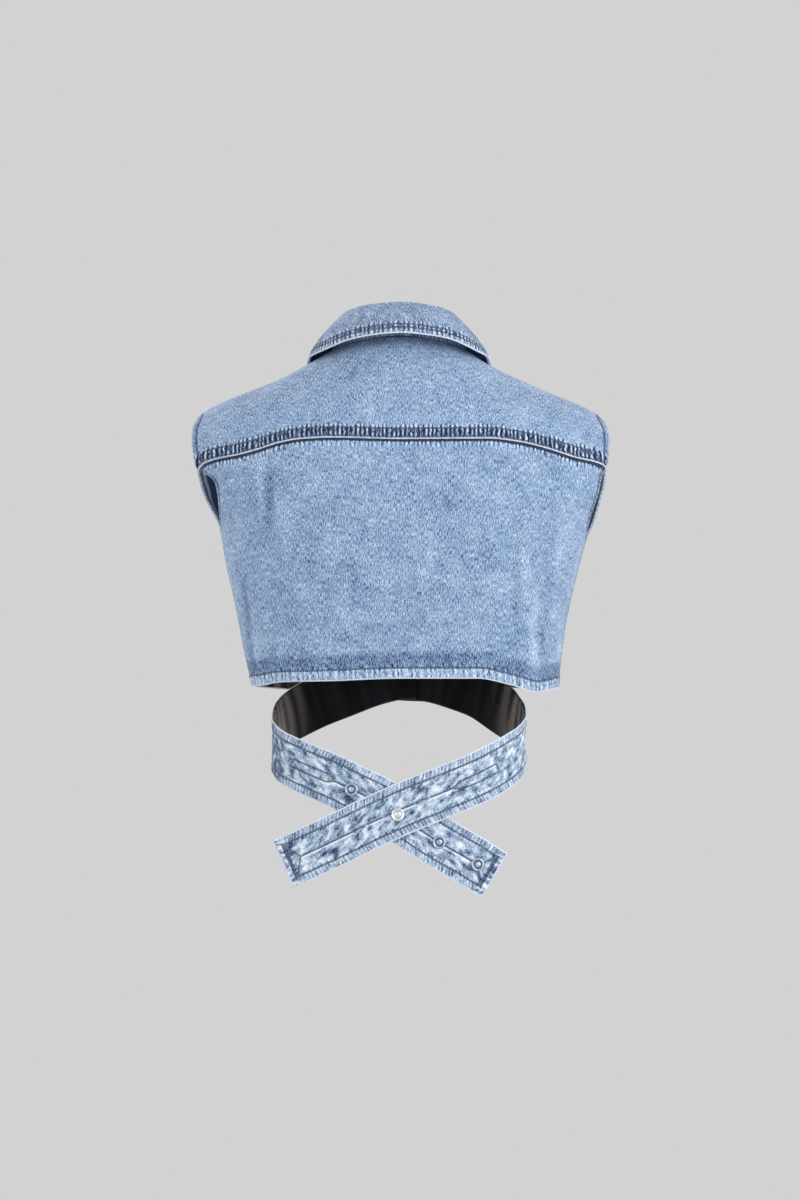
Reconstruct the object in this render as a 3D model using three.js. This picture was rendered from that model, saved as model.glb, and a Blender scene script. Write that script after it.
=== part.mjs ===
// A cropped denim vest, filled out as if worn: a shirt collar, a one-piece yoke over extended shoulders,
// open armholes, a straight back and two fronts whose waistband runs on as straps that cross at the back.
// Millimetres. The wearer faces -Y, their left hand is on +X and Z is up. The origin is the middle of the
// neck, at the height where the shoulders carry the vest.
import * as THREE from 'three';

// Thicknesses of the finished cloth, and the room left at a seam and between layers.
const CLOTH = 2;
const COLLAR_CLOTH = 2.4;
const STRAP_CLOTH = 3;
const SEAM_GAP = 0.3;
const SIDE_SEAM_GAP = 0.5;
const LAYER_GAP = 0.3;
const PLACKET_GAP = 0.55;

// Widths and lengths of the pieces.
const STRAP_WIDTH = 54;
const PLACKET_WIDTH = 32;
const PLACKET_CLOTH = 1.6;
const BUTTON_DIAMETER = 14;
const BUTTON_THICKNESS = 3.2;

// The room left along the seam of the yoke and the back panel, by the share of the way to the armhole.
const YOKE_SEAM_GAP = [
  { share: 0, gap: 0.5 },
  { share: 0.3, gap: 0.5 },
  { share: 0.55, gap: 0.95 },
  { share: 0.8, gap: 0.95 },
  { share: 0.95, gap: 1.5 },
  { share: 1, gap: 1.5 },
];

// How square the level sections of the back are: 2 is an ellipse, more is squarer.
const BACK_POWER = 2.6;

// Half girths of the sections. Above the underarm they run on past the armhole's edge.
const GIRTH = [
  { z: 40, backLeft: 232, backRight: 234, frontLeft: 234, frontRight: 236 },
  { z: -83, backLeft: 231, backRight: 234, frontLeft: 236, frontRight: 240 },
  { z: -113, backLeft: 225, backRight: 232, frontLeft: 237, frontRight: 243 },
  { z: -127, backLeft: 211, backRight: 225, frontLeft: 230, frontRight: 237 },
  { z: -142, backLeft: 201.6, backRight: 219, frontLeft: 221.4, frontRight: 230.4 },
  { z: -158, backLeft: 194.8, backRight: 208.6, frontLeft: 204.6, frontRight: 219 },
  { z: -170, backLeft: 190, backRight: 202.4, frontLeft: 193, frontRight: 209.6 },
  { z: -177, backLeft: 188.2, backRight: 199.4, frontLeft: 188.2, frontRight: 204.6 },
  { z: -186, backLeft: 186.6, backRight: 195.6, frontLeft: 186.6, frontRight: 197.2 },
  { z: -191, backLeft: 185.8, backRight: 194.1, frontLeft: 185.8, frontRight: 194.1 },
  { z: -215, backLeft: 181.5, backRight: 187.5, frontLeft: 181.5, frontRight: 187.5 },
  { z: -245, backLeft: 174.6, backRight: 180, frontLeft: 174.6, frontRight: 180 },
  { z: -278, backLeft: 168, backRight: 173.2, frontLeft: 168, frontRight: 173.2 },
  { z: -310, backLeft: 162, backRight: 169, frontLeft: 162, frontRight: 169 },
  { z: -345, backLeft: 153.6, backRight: 165.5, frontLeft: 153.6, frontRight: 165.5 },
];

// Half widths of the garment's own edge: the armhole down to the underarm, and below that the side seam.
const EDGE = [
  { z: -50, backLeft: 211, backRight: 210, frontLeft: 211, frontRight: 210 },
  { z: -60, backLeft: 213.5, backRight: 213, frontLeft: 213.5, frontRight: 213 },
  { z: -71, backLeft: 217.6, backRight: 217.8, frontLeft: 217.6, frontRight: 217.8 },
  { z: -84, backLeft: 218.4, backRight: 219.4, frontLeft: 218.4, frontRight: 219.4 },
  { z: -101, backLeft: 216, backRight: 218, frontLeft: 216.4, frontRight: 218.6 },
  { z: -113, backLeft: 212.5, backRight: 215.5, frontLeft: 214, frontRight: 218 },
  { z: -120, backLeft: 200.5, backRight: 212, frontLeft: 212.5, frontRight: 217.2 },
  { z: -127, backLeft: 194, backRight: 210.5, frontLeft: 211, frontRight: 216.4 },
  { z: -142, backLeft: 191, backRight: 207, frontLeft: 206, frontRight: 212.6 },
  { z: -158, backLeft: 189.4, backRight: 200.6, frontLeft: 197.6, frontRight: 208 },
  { z: -170, backLeft: 188.4, backRight: 198, frontLeft: 190.8, frontRight: 204 },
  { z: -177, backLeft: 188.1, backRight: 196.2, frontLeft: 188.1, frontRight: 200.6 },
  { z: -186, backLeft: 186.6, backRight: 194.8, frontLeft: 186.6, frontRight: 196.2 },
  { z: -191, backLeft: 185.8, backRight: 194, frontLeft: 185.8, frontRight: 194 },
];
const UNDERARM_LEFT = -177;
const UNDERARM_RIGHT = -191;

// Depth of the body behind and in front of the middle, and how square the fronts are.
const DEPTH = [
  { z: 40, back: 107, front: 34, frontPower: 2.4 },
  { z: 0, back: 109, front: 46, frontPower: 2.4 },
  { z: -58, back: 112, front: 73, frontPower: 2.4 },
  { z: -113, back: 116, front: 99, frontPower: 2.4 },
  { z: -150, back: 120, front: 117, frontPower: 2.4 },
  { z: -190, back: 119, front: 129, frontPower: 2.4 },
  { z: -222, back: 116, front: 128, frontPower: 2.4 },
  { z: -262, back: 110, front: 116, frontPower: 2.3 },
  { z: -302, back: 104, front: 99, frontPower: 2.2 },
  { z: -350, back: 98, front: 96, frontPower: 2 },
];

// The top line of the shoulders, seen from behind. Its middle is the line carried on across the neck.
const SHOULDER = [
  { x: -213, z: -61 },
  { x: -206, z: -53 },
  { x: -191, z: -44.4 },
  { x: -169, z: -35.6 },
  { x: -142, z: -24.4 },
  { x: -115, z: -12.4 },
  { x: -92, z: -0.8 },
  { x: -72, z: 12 },
  { x: -45, z: 27.6 },
  { x: 0, z: 38 },
  { x: 45, z: 28 },
  { x: 72, z: 13.4 },
  { x: 97, z: -1 },
  { x: 128, z: -17.4 },
  { x: 160, z: -30.4 },
  { x: 187, z: -41 },
  { x: 205, z: -50.5 },
  { x: 213, z: -59 },
];

// The seam between the yoke and the back panel, seen from behind.
const YOKE_SEAM = [
  { x: -216, z: -114.5 },
  { x: -206, z: -108 },
  { x: -176, z: -101 },
  { x: -147, z: -92 },
  { x: -118, z: -85 },
  { x: -88, z: -81.5 },
  { x: 0, z: -82 },
  { x: 69, z: -80.5 },
  { x: 99, z: -82 },
  { x: 121, z: -86 },
  { x: 143, z: -93 },
  { x: 165, z: -98.6 },
  { x: 187, z: -102.6 },
  { x: 202, z: -107 },
  { x: 213, z: -114.5 },
];

// The back hem, seen from behind.
const BACK_HEM = [
  { x: -166, z: -342 },
  { x: -143, z: -346.5 },
  { x: -128, z: -342.5 },
  { x: -112, z: -338 },
  { x: -80, z: -332 },
  { x: 0, z: -332 },
  { x: 70, z: -334.6 },
  { x: 124, z: -336 },
  { x: 144, z: -339.5 },
  { x: 154, z: -340.5 },
];

// Soft folds of the back: a trough or ridge that runs down from top to bottom at x.
const BACK_FOLDS = [
  { x: 141, lean: 2, top: -95, bottom: -200, width: 9, depth: -3 },
  { x: 122, lean: 8, top: -105, bottom: -250, width: 13, depth: 1.8 },
  { x: -134, lean: -4, top: -180, bottom: -345, width: 9, depth: 2.6 },
  { x: -116, lean: -3, top: -130, bottom: -330, width: 11, depth: -1.8 },
  { x: 40, lean: -12, top: -190, bottom: -330, width: 18, depth: 1.4 },
  { x: -40, lean: 10, top: -120, bottom: -260, width: 20, depth: -1.2 },
];

// Folds of each front, from the bust to the waist, as the distance from the middle.
const FRONT_FOLDS = [
  { x: 92, lean: -14, top: -205, bottom: -340, width: 12, depth: 3 },
  { x: 66, lean: -8, top: -225, bottom: -330, width: 10, depth: -2.4 },
  { x: 124, lean: -6, top: -150, bottom: -300, width: 13, depth: -2 },
];

// How late the folds fade out towards the sides.
const FOLD_FADE_POWER = 4;

// Height of the rounding from the shoulder line down to the chest.
const FRONT_ROUND = 55;

// The neckline: how far it lies from the middle as a share of the shoulder, the turn from the shoulder line
// at the middle of the back and at its front end, and where it ends at the middle of the front.
const NECK_SHARE = 0.285;
const NECK_TURN_BACK = 25 * THREE.MathUtils.DEG2RAD;
const NECK_TURN_FRONT = 70 * THREE.MathUtils.DEG2RAD;
const NECK_ANGLE_END = 117 * THREE.MathUtils.DEG2RAD;
const NECK_FRONT_Z = -58;

// The parts of the half neckline that belong to the yoke, and of the yoke's own that face the back seam.
const YOKE_NECK_PART = 0.54;
const YOKE_NECK_CORNER = 0.52;

// The yoke ends in front of the shoulder line, at this turn from it.
const FRONT_SEAM_TURN = 35 * THREE.MathUtils.DEG2RAD;

// The fronts overlap by a little more than the placket, and the left one runs in behind the right one.
const FRONT_OVERLAP = 16;
const UNDERLAP_DEPTH = 3.6;
const UNDERLAP_FADE = 26;

// The parts of a front's columns that start at the neckline and that end at the waistband, and how closely
// its rows stand at the top.
const NECK_COLUMNS = 0.42;
const WAIST_COLUMNS = 0.74;
const ROW_CROWD = 1.35;

// The part of a front's height from which the waistband draws it in.
const DRAW_START = 0.62;

// Where the waistband's top edge leaves the front's seam and the notch at the side begins.
const NOTCH_X_LEFT = 117;
const NOTCH_X_RIGHT = 119;
const SIDE_HEM_LEFT = -340;
const SIDE_HEM_RIGHT = -342;

// The fold along the top of the collar, from the left front (1) round the back (0) to the right front (-1).
const COLLAR_FOLD = [
  { t: -1, x: -13, y: -71, z: -30 },
  { t: -0.8, x: -36, y: -60, z: -12 },
  { t: -0.6, x: -55, y: -35, z: 16 },
  { t: -0.45, x: -62.5, y: -5, z: 37 },
  { t: -0.3, x: -56, y: 24, z: 50 },
  { t: -0.15, x: -33, y: 43, z: 59 },
  { t: 0, x: 0, y: 49, z: 62.4 },
  { t: 0.15, x: 33, y: 43, z: 59.6 },
  { t: 0.3, x: 57, y: 24, z: 51.5 },
  { t: 0.45, x: 64, y: -5, z: 40 },
  { t: 0.6, x: 56, y: -35, z: 18 },
  { t: 0.8, x: 36, y: -60, z: -11 },
  { t: 1, x: 13, y: -71, z: -29 },
];

// The outer edge of the collar leaf, with its points at the two ends.
const COLLAR_EDGE = [
  { t: -1, x: -66, y: -98, z: -93 },
  { t: -0.8, x: -86, y: -76, z: -58 },
  { t: -0.6, x: -97, y: -36, z: -12 },
  { t: -0.45, x: -93.5, y: 6, z: 3.6 },
  { t: -0.3, x: -80, y: 46, z: 11 },
  { t: -0.15, x: -47, y: 72, z: 24 },
  { t: 0, x: 0, y: 80, z: 29.4 },
  { t: 0.15, x: 47, y: 72, z: 23.6 },
  { t: 0.3, x: 80, y: 46, z: 11.6 },
  { t: 0.45, x: 96.5, y: 6, z: 3.4 },
  { t: 0.6, x: 99, y: -36, z: -12 },
  { t: 0.8, x: 87, y: -76, z: -58 },
  { t: 1, x: 66, y: -98, z: -93 },
];

// The roll over the fold, from inside the neck outwards, and how far the leaf is crowned below it.
const COLLAR_ROLL = [
  { out: -3.6, up: -1.4 },
  { out: 0, up: 0 },
  { out: 3.6, up: -1.6 },
];
const COLLAR_CROWN = 3.2;

// The middle of the neck's width, and the place of the collar stand: how far it lies inside the neckline,
// its foot above that line, and its top below the fold.
const COLLAR_CENTRE_Y = -8;
const STAND_INSET = 2.7;
const STAND_FOOT = { back: -1.2, front: 0.6 };
const STAND_DROP = { back: 4, front: 6.6 };

// The middle line of each waistband half and strap, on its outer face, from the front to the free end.
const LEFT_STRAP = [
  { x: -16, y: -94, z: -328 },
  { x: 4, y: -94, z: -329 },
  { x: 20, y: -94.1, z: -332.5 },
  { x: 36, y: -95.6, z: -337.5 },
  { x: 60, y: -93.1, z: -347 },
  { x: 85, y: -85.1, z: -357 },
  { x: 105, y: -73.3, z: -367 },
  { x: 118, y: -60, z: -375 },
  { x: 129, y: -39, z: -386 },
  { x: 133.6, y: -10, z: -397 },
  { x: 133, y: 20, z: -405 },
  { x: 124, y: 46, z: -414 },
  { x: 104, y: 65, z: -424 },
  { x: 78, y: 77, z: -435 },
  { x: 50, y: 83, z: -448 },
  { x: 16, y: 85.4, z: -465 },
  { x: -12, y: 85, z: -484 },
  { x: -40, y: 82.4, z: -502.5 },
  { x: -72, y: 77, z: -521 },
  { x: -99, y: 71, z: -538 },
];
const RIGHT_STRAP = [
  { x: 16, y: -98, z: -328 },
  { x: -8, y: -98, z: -329.5 },
  { x: -32, y: -97, z: -331 },
  { x: -60, y: -93.1, z: -339 },
  { x: -85, y: -85.1, z: -349 },
  { x: -105, y: -73.3, z: -363.5 },
  { x: -118, y: -60, z: -374 },
  { x: -128, y: -39, z: -384 },
  { x: -132, y: -10, z: -394 },
  { x: -131, y: 20, z: -402 },
  { x: -122, y: 49, z: -412 },
  { x: -102, y: 70, z: -425 },
  { x: -76, y: 83, z: -438 },
  { x: -43, y: 89, z: -451.5 },
  { x: -8, y: 90, z: -465.5 },
  { x: 27, y: 90, z: -481 },
  { x: 63, y: 89, z: -498.5 },
  { x: 97, y: 86, z: -514.5 },
  { x: 122, y: 82.5, z: -526 },
];

// Where the buttons stand: their distance along the left strap from its free end, and the height of those
// on the placket.
const STRAP_BUTTON_FROM_END = [22, 69, 121, 176];
const FASTENED_BUTTON = 2;
const FASTENED_LIFT = 4.6;
const PLACKET_BUTTON_HEIGHTS = [-78, -138, -198, -258];

// Half of a button's section, as shares of its radius and of its thickness.
const BUTTON_PROFILE = [
  { out: 0, up: 0 },
  { out: 0.8, up: 0 },
  { out: 1, up: 0.35 },
  { out: 1, up: 0.75 },
  { out: 0.86, up: 1 },
  { out: 0.62, up: 0.72 },
  { out: 0, up: 0.72 },
];

// Faces of each piece across and along. The yoke and the back panel share their columns along the seam.
const SEAM_COLUMNS = 32;
const BACK_ROWS = 14;
const FRONT_GRID = { across: 18, down: 16 };
const YOKE_GRID = { arm: 9, out: 7 };
const PLACKET_GRID = { across: 4, down: 18 };
const COLLAR_STEPS = 40;
const STAND_ROWS = 3;
const LEAF_ROWS = 4;
const STRAP_GRID = { across: 4, along: 56 };
const BUTTON_SIDES = 20;

// The waistband's top edge is read as this many points along this part of the strap.
const WAIST_EDGE = { points: 160, part: 0.5 };

// The placket stops short of the neckline and of the waistband.
const PLACKET_INSET = { top: 2, bottom: 1 };

// Reads one column of a table at a place between its rows, along a smooth curve through them.
function read(table, key, place, column) {
  const rising = table[table.length - 1][key] > table[0][key];
  const rows = rising ? table : [...table].reverse();
  const last = rows.length - 1;
  if (place <= rows[0][key]) return rows[0][column];
  if (place >= rows[last][key]) return rows[last][column];
  let i = 0;
  while (rows[i + 1][key] < place) i += 1;
  const step = (k) => (rows[k + 1][column] - rows[k][column]) / (rows[k + 1][key] - rows[k][key]);
  const slope = (k) => {
    if (k === 0) return step(0);
    if (k === last) return step(last - 1);
    const before = step(k - 1);
    const after = step(k);
    return before * after <= 0 ? 0 : (2 * before * after) / (before + after);
  };
  const gap = rows[i + 1][key] - rows[i][key];
  const s = (place - rows[i][key]) / gap;
  const rise = rows[i + 1][column] - rows[i][column];
  const start = slope(i) * gap;
  const end = slope(i + 1) * gap;
  return rows[i][column] + s * start + s * s * (3 * rise - 2 * start - end)
    + s * s * s * (start + end - 2 * rise);
}

const mix = (a, b, share) => a + (b - a) * share;
const smooth = (low, high, value) => THREE.MathUtils.smoothstep(value, low, high);

// The column of a table for the back or front of the wearer's left or right.
const columnFor = (side, hand) => (side > 0 ? 'back' : 'front') + (hand < 0 ? 'Right' : 'Left');

function girth(side, hand, z) {
  return read(GIRTH, 'z', z, columnFor(side, hand));
}

// The edge follows the armhole down to the underarm, and then the full girth.
function edge(side, hand, z) {
  const underarm = hand < 0 ? UNDERARM_RIGHT : UNDERARM_LEFT;
  const full = girth(side, hand, z);
  return z <= underarm ? full : Math.min(full, read(EDGE, 'z', z, columnFor(side, hand)));
}

// The angle round the level section at which its edge lies.
function edgeAngle(side, hand, z) {
  return Math.asin(Math.min(1, edge(side, hand, z) / girth(side, hand, z)));
}

// Distance from the middle at a share of the way to the edge: 1 is the left edge, and -1 the right.
function across(side, share, z) {
  const hand = share < 0 ? -1 : 1;
  return girth(side, hand, z) * Math.sin(share * edgeAngle(side, hand, z));
}

// The share of the way to the edge for a distance from the middle.
function shareOf(side, x, z) {
  const hand = x < 0 ? -1 : 1;
  return Math.asin(x / girth(side, hand, z)) / edgeAngle(side, hand, z);
}

// A soft trough or ridge that fades out at its ends and sides.
function foldDepth(fold, x, z) {
  const along = (fold.top - z) / (fold.top - fold.bottom);
  if (along <= 0 || along >= 1) return 0;
  const off = (x - fold.x - fold.lean * along) / fold.width;
  return fold.depth * Math.sin(Math.PI * along) * Math.exp(-off * off);
}

function foldsAt(side, x, z) {
  const folds = side > 0 ? BACK_FOLDS : FRONT_FOLDS;
  const place = side > 0 ? x : Math.abs(x);
  return folds.reduce((sum, fold) => sum + foldDepth(fold, place, z), 0);
}

// How far the level section stands behind or in front of the middle.
function sectionDepth(side, x, z) {
  const power = side > 0 ? BACK_POWER : read(DEPTH, 'z', z, 'frontPower');
  const deepest = read(DEPTH, 'z', z, side > 0 ? 'back' : 'front');
  const part = Math.min(1, Math.abs(x) / girth(side, x < 0 ? -1 : 1, z));
  return deepest * (1 - part ** power) ** (1 / power) + foldsAt(side, x, z) * (1 - part ** FOLD_FADE_POWER);
}

const shoulderX = (share) => across(1, share, SHOULDER[0].z);
const shoulderZ = (share) => read(SHOULDER, 'x', shoulderX(share), 'z');
const yokeSeamZ = (share) => read(YOKE_SEAM, 'x', shoulderX(share), 'z');

// Height over which the cloth rounds off below the shoulder line.
function roundingHeight(side, share) {
  return side > 0 ? shoulderZ(share) - yokeSeamZ(share) : FRONT_ROUND;
}

// A point of the garment: side is 1 behind and -1 in front, and share is its way to the edge.
function bodyPoint(side, share, z) {
  const x = across(side, share, z);
  const fall = THREE.MathUtils.clamp((shoulderZ(share) - z) / roundingHeight(side, share), 0, 1);
  const rounding = Math.sqrt(1 - (1 - fall) ** 2);
  const y = side * (rounding * sectionDepth(side, x, z) + SIDE_SEAM_GAP / 2);
  return new THREE.Vector3(x, y, z);
}

// A point near the shoulder line, at a turn from it: positive to the back, negative to the front.
function shoulderPoint(share, turn) {
  const side = turn < 0 ? -1 : 1;
  const z = shoulderZ(share) - roundingHeight(side, share) * (1 - Math.cos(turn));
  const x = across(side, share, z);
  return new THREE.Vector3(x, Math.sin(turn) * sectionDepth(side, x, z), z);
}

// The share and turn of the yoke's neckline: 1 is its left front end, 0 the middle of the back.
function yokeNeck(place) {
  const angle = place * NECK_ANGLE_END;
  const reach = Math.cos(angle) > 0 ? NECK_TURN_BACK : NECK_TURN_FRONT;
  return { share: NECK_SHARE * Math.sin(angle), turn: reach * Math.cos(angle) };
}

// The neckline all round, from the middle of the left front (1) to that of the right front (-1).
function neckPoint(t) {
  const hand = t < 0 ? -1 : 1;
  const place = Math.abs(t);
  if (place <= YOKE_NECK_PART) {
    const at = yokeNeck(t / YOKE_NECK_PART);
    return shoulderPoint(at.share, at.turn);
  }
  const part = (place - YOKE_NECK_PART) / (1 - YOKE_NECK_PART);
  const at = frontNeck(hand, 1 - part);
  return bodyPoint(-1, at.share, at.z);
}

// The front's neckline: 0 is its edge at the middle and 1 its upper end at the yoke.
function frontNeck(hand, place) {
  const end = yokeNeck(hand);
  const top = shoulderPoint(end.share, end.turn);
  const low = Math.asin(-FRONT_OVERLAP / Math.abs(top.x));
  const angle = mix(low, Math.PI / 2, place);
  const z = NECK_FRONT_Z + (top.z - NECK_FRONT_Z) * (1 - Math.cos(angle));
  return { share: shareOf(-1, top.x * Math.sin(angle), z), z };
}

// A closed wall: rows of points on the outer face, and the inner face a thickness behind them.
function wall(rows, thickness) {
  const height = rows.length;
  const width = rows[0].length;
  const normalAt = (r, c) => {
    const along = rows[r][Math.min(c + 1, width - 1)].clone().sub(rows[r][Math.max(c - 1, 0)]);
    const down = rows[Math.min(r + 1, height - 1)][c].clone().sub(rows[Math.max(r - 1, 0)][c]);
    return down.cross(along).normalize();
  };
  const innerPoint = (r, c) => rows[r][c].clone().addScaledVector(normalAt(r, c), -thickness);
  const outer = rows.flat();
  const inner = rows.flatMap((row, r) => row.map((_, c) => innerPoint(r, c)));
  const total = outer.length;
  const faces = [];
  const quad = (a, b, c, d) => faces.push(a, b, c, a, c, d);
  const at = (r, c) => r * width + c;
  for (let r = 0; r < height - 1; r += 1) {
    for (let c = 0; c < width - 1; c += 1) {
      quad(at(r, c), at(r + 1, c), at(r + 1, c + 1), at(r, c + 1));
      quad(total + at(r, c), total + at(r, c + 1), total + at(r + 1, c + 1), total + at(r + 1, c));
    }
  }
  const rim = (a, b) => quad(a, b, total + b, total + a);
  for (let c = 0; c < width - 1; c += 1) {
    rim(at(0, c), at(0, c + 1));
    rim(at(height - 1, c + 1), at(height - 1, c));
  }
  for (let r = 0; r < height - 1; r += 1) {
    rim(at(r + 1, 0), at(r, 0));
    rim(at(r, width - 1), at(r + 1, width - 1));
  }
  const geometry = new THREE.BufferGeometry();
  const points = [...outer, ...inner].flatMap((p) => [p.x, p.y, p.z]);
  geometry.setAttribute('position', new THREE.Float32BufferAttribute(points, 3));
  geometry.setIndex(faces);
  return geometry;
}

const steps = (count) => Array.from({ length: count + 1 }, (_, i) => i / count);
const flip = (rows) => rows.map((row) => [...row].reverse());

function backPanel() {
  const rows = steps(BACK_ROWS).map((down) => steps(SEAM_COLUMNS).map((part) => {
    const share = 1 - 2 * part;
    const hand = share < 0 ? -1 : 1;
    const top = yokeSeamZ(share) - read(YOKE_SEAM_GAP, 'share', Math.abs(share), 'gap');
    const hemX = girth(1, hand, BACK_HEM[0].z) * Math.sin(share * Math.PI / 2);
    const hem = read(BACK_HEM, 'x', hemX, 'z');
    return bodyPoint(1, share, mix(top, hem, down));
  }));
  return wall(rows, CLOTH);
}

// The yoke fans out from the neckline to its front seams, the armholes and the back seam.
function yoke() {
  const rim = [];
  steps(YOKE_GRID.arm).forEach((s) => rim.push({ share: 1, turn: mix(-FRONT_SEAM_TURN, Math.PI / 2, s) }));
  steps(SEAM_COLUMNS).slice(1, -1).forEach((s) => rim.push({ share: 1 - 2 * s, turn: Math.PI / 2 }));
  steps(YOKE_GRID.arm).forEach((s) => rim.push({ share: -1, turn: mix(Math.PI / 2, -FRONT_SEAM_TURN, s) }));
  const rows = steps(YOKE_GRID.out).map((out) => rim.map((end, i) => {
    const start = yokeNeck(neckPlaceFor(i, rim.length));
    return shoulderPoint(mix(start.share, end.share, out), mix(start.turn, end.turn, out));
  }));
  return wall(rows, CLOTH);
}

// Spreads the armhole's columns over the ends of the neckline and the seam's over its middle.
function neckPlaceFor(column, count) {
  const middle = (count - 1) / 2;
  const away = Math.abs(column - middle);
  const seamHalf = middle - YOKE_GRID.arm;
  const place = away <= seamHalf
    ? YOKE_NECK_CORNER * away / seamHalf
    : mix(YOKE_NECK_CORNER, 1, (away - seamHalf) / YOKE_GRID.arm);
  return column < middle ? place : -place;
}

// The strap's outer face: a smooth line through its stations, and its width square to that line.
function strapCurve(stations) {
  const points = stations.map((s) => new THREE.Vector3(s.x, s.y, s.z));
  return new THREE.CatmullRomCurve3(points, false, 'centripetal');
}

function strapPoint(curve, along, offset) {
  const middle = curve.getPointAt(along);
  const tangent = curve.getTangentAt(along);
  const outward = new THREE.Vector3(tangent.y, -tangent.x, 0).normalize();
  const up = outward.cross(tangent).normalize();
  return middle.addScaledVector(up.z < 0 ? up.negate() : up, offset);
}

function strap(stations, hand) {
  const curve = strapCurve(stations);
  const rows = steps(STRAP_GRID.across).map((part) => steps(STRAP_GRID.along).map((along) => (
    strapPoint(curve, along, (0.5 - part) * STRAP_WIDTH))));
  return wall(hand > 0 ? rows : flip(rows), STRAP_CLOTH);
}

// The waistband's top edge on the front, as points from the middle to beyond the notch.
function waistEdge(stations) {
  const curve = strapCurve(stations);
  return steps(WAIST_EDGE.points).map((s) => strapPoint(curve, s * WAIST_EDGE.part, STRAP_WIDTH / 2));
}

function waistEdgeAt(points, x) {
  let i = 0;
  while (i < points.length - 2 && Math.abs(points[i + 1].x - points[0].x) < Math.abs(x - points[0].x)) i += 1;
  const share = (x - points[i].x) / (points[i + 1].x - points[i].x);
  return points[i].clone().lerp(points[i + 1], THREE.MathUtils.clamp(share, 0, 1));
}

// The upper end of one of a front's columns, at the neckline or at the yoke.
function frontTop(hand, part) {
  if (part <= NECK_COLUMNS) {
    const at = frontNeck(hand, part / NECK_COLUMNS);
    return { share: at.share, z: at.z - SEAM_GAP * (part / NECK_COLUMNS) };
  }
  const out = (part - NECK_COLUMNS) / (1 - NECK_COLUMNS);
  const start = yokeNeck(hand);
  const share = mix(start.share, hand, out);
  const turn = mix(start.turn, -FRONT_SEAM_TURN, out);
  return { share, z: shoulderZ(share) - FRONT_ROUND * (1 - Math.cos(turn)) - SEAM_GAP };
}

// The lower end of the column, at the waistband or the short side hem, and how far it is drawn in there.
function frontBottom(hand, part, waist) {
  const notchX = hand * (hand > 0 ? NOTCH_X_LEFT : NOTCH_X_RIGHT);
  const x = mix(-hand * FRONT_OVERLAP, notchX, Math.min(part / WAIST_COLUMNS, 1));
  const band = waistEdgeAt(waist, x);
  const z = band.z + SEAM_GAP;
  const share = shareOf(-1, x, z);
  const draw = band.y - bodyPoint(-1, share, z).y;
  const out = Math.max(0, (part - WAIST_COLUMNS) / (1 - WAIST_COLUMNS));
  const sideHem = hand > 0 ? SIDE_HEM_LEFT : SIDE_HEM_RIGHT;
  return { share: mix(share, hand, out), z: mix(z, sideHem, out), draw: draw * (1 - smooth(0, 1, out)) };
}

// How far the left front lies behind the right one, near the middle.
function underlap(hand, x) {
  return hand > 0 ? UNDERLAP_DEPTH * (1 - smooth(FRONT_OVERLAP, FRONT_OVERLAP + UNDERLAP_FADE, x)) : 0;
}

function front(hand) {
  const waist = waistEdge(hand > 0 ? LEFT_STRAP : RIGHT_STRAP);
  const rows = steps(FRONT_GRID.down).map((level) => steps(FRONT_GRID.across).map((part) => {
    const top = frontTop(hand, part);
    const bottom = frontBottom(hand, part, waist);
    const down = level ** ROW_CROWD;
    const point = bodyPoint(-1, mix(top.share, bottom.share, down), mix(top.z, bottom.z, down));
    point.y += mix(underlap(hand, point.x), bottom.draw, smooth(DRAW_START, 1, down));
    return point;
  }));
  return wall(hand > 0 ? rows : flip(rows), CLOTH);
}

// A point on the right front with its outward direction, for what is sewn on it.
function rightFrontFrame(x, z) {
  const at = (px, pz) => bodyPoint(-1, shareOf(-1, px, pz), pz);
  const point = at(x, z);
  const along = at(x + 1, z).sub(at(x - 1, z));
  const down = at(x, z - 1).sub(at(x, z + 1));
  return { point, normal: down.cross(along).normalize() };
}

function placket() {
  const top = NECK_FRONT_Z - PLACKET_INSET.top;
  const bottom = waistEdgeAt(waistEdge(RIGHT_STRAP), 0).z + PLACKET_INSET.bottom;
  const rows = steps(PLACKET_GRID.down).map((down) => steps(PLACKET_GRID.across).map((part) => {
    const x = mix(-PLACKET_WIDTH / 2, PLACKET_WIDTH / 2, part);
    const { point, normal } = rightFrontFrame(x, mix(top, bottom, down));
    return point.addScaledVector(normal, PLACKET_GAP + PLACKET_CLOTH);
  }));
  return wall(rows, PLACKET_CLOTH);
}

// The direction from a point of the collar towards the middle of the neck, level.
function inward(point) {
  return new THREE.Vector3(-point.x, COLLAR_CENTRE_Y - point.y, 0).normalize();
}

function collarLine(table, t) {
  return new THREE.Vector3(read(table, 't', t, 'x'), read(table, 't', t, 'y'), read(table, 't', t, 'z'));
}

function collarStand() {
  const rows = steps(STAND_ROWS).map((down) => steps(COLLAR_STEPS).map((part) => {
    const t = 1 - 2 * part;
    const foot = mix(STAND_FOOT.back, STAND_FOOT.front, smooth(0.5, 0.75, Math.abs(t)));
    const drop = mix(STAND_DROP.back, STAND_DROP.front, smooth(0.6, 1, Math.abs(t)));
    const base = neckPoint(t);
    base.addScaledVector(inward(base), STAND_INSET).setZ(base.z + foot);
    const top = collarLine(COLLAR_FOLD, t);
    top.addScaledVector(inward(top), -COLLAR_CLOTH / 2).setZ(top.z - drop);
    return top.lerp(base, down);
  }));
  return wall(rows, COLLAR_CLOTH);
}

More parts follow.
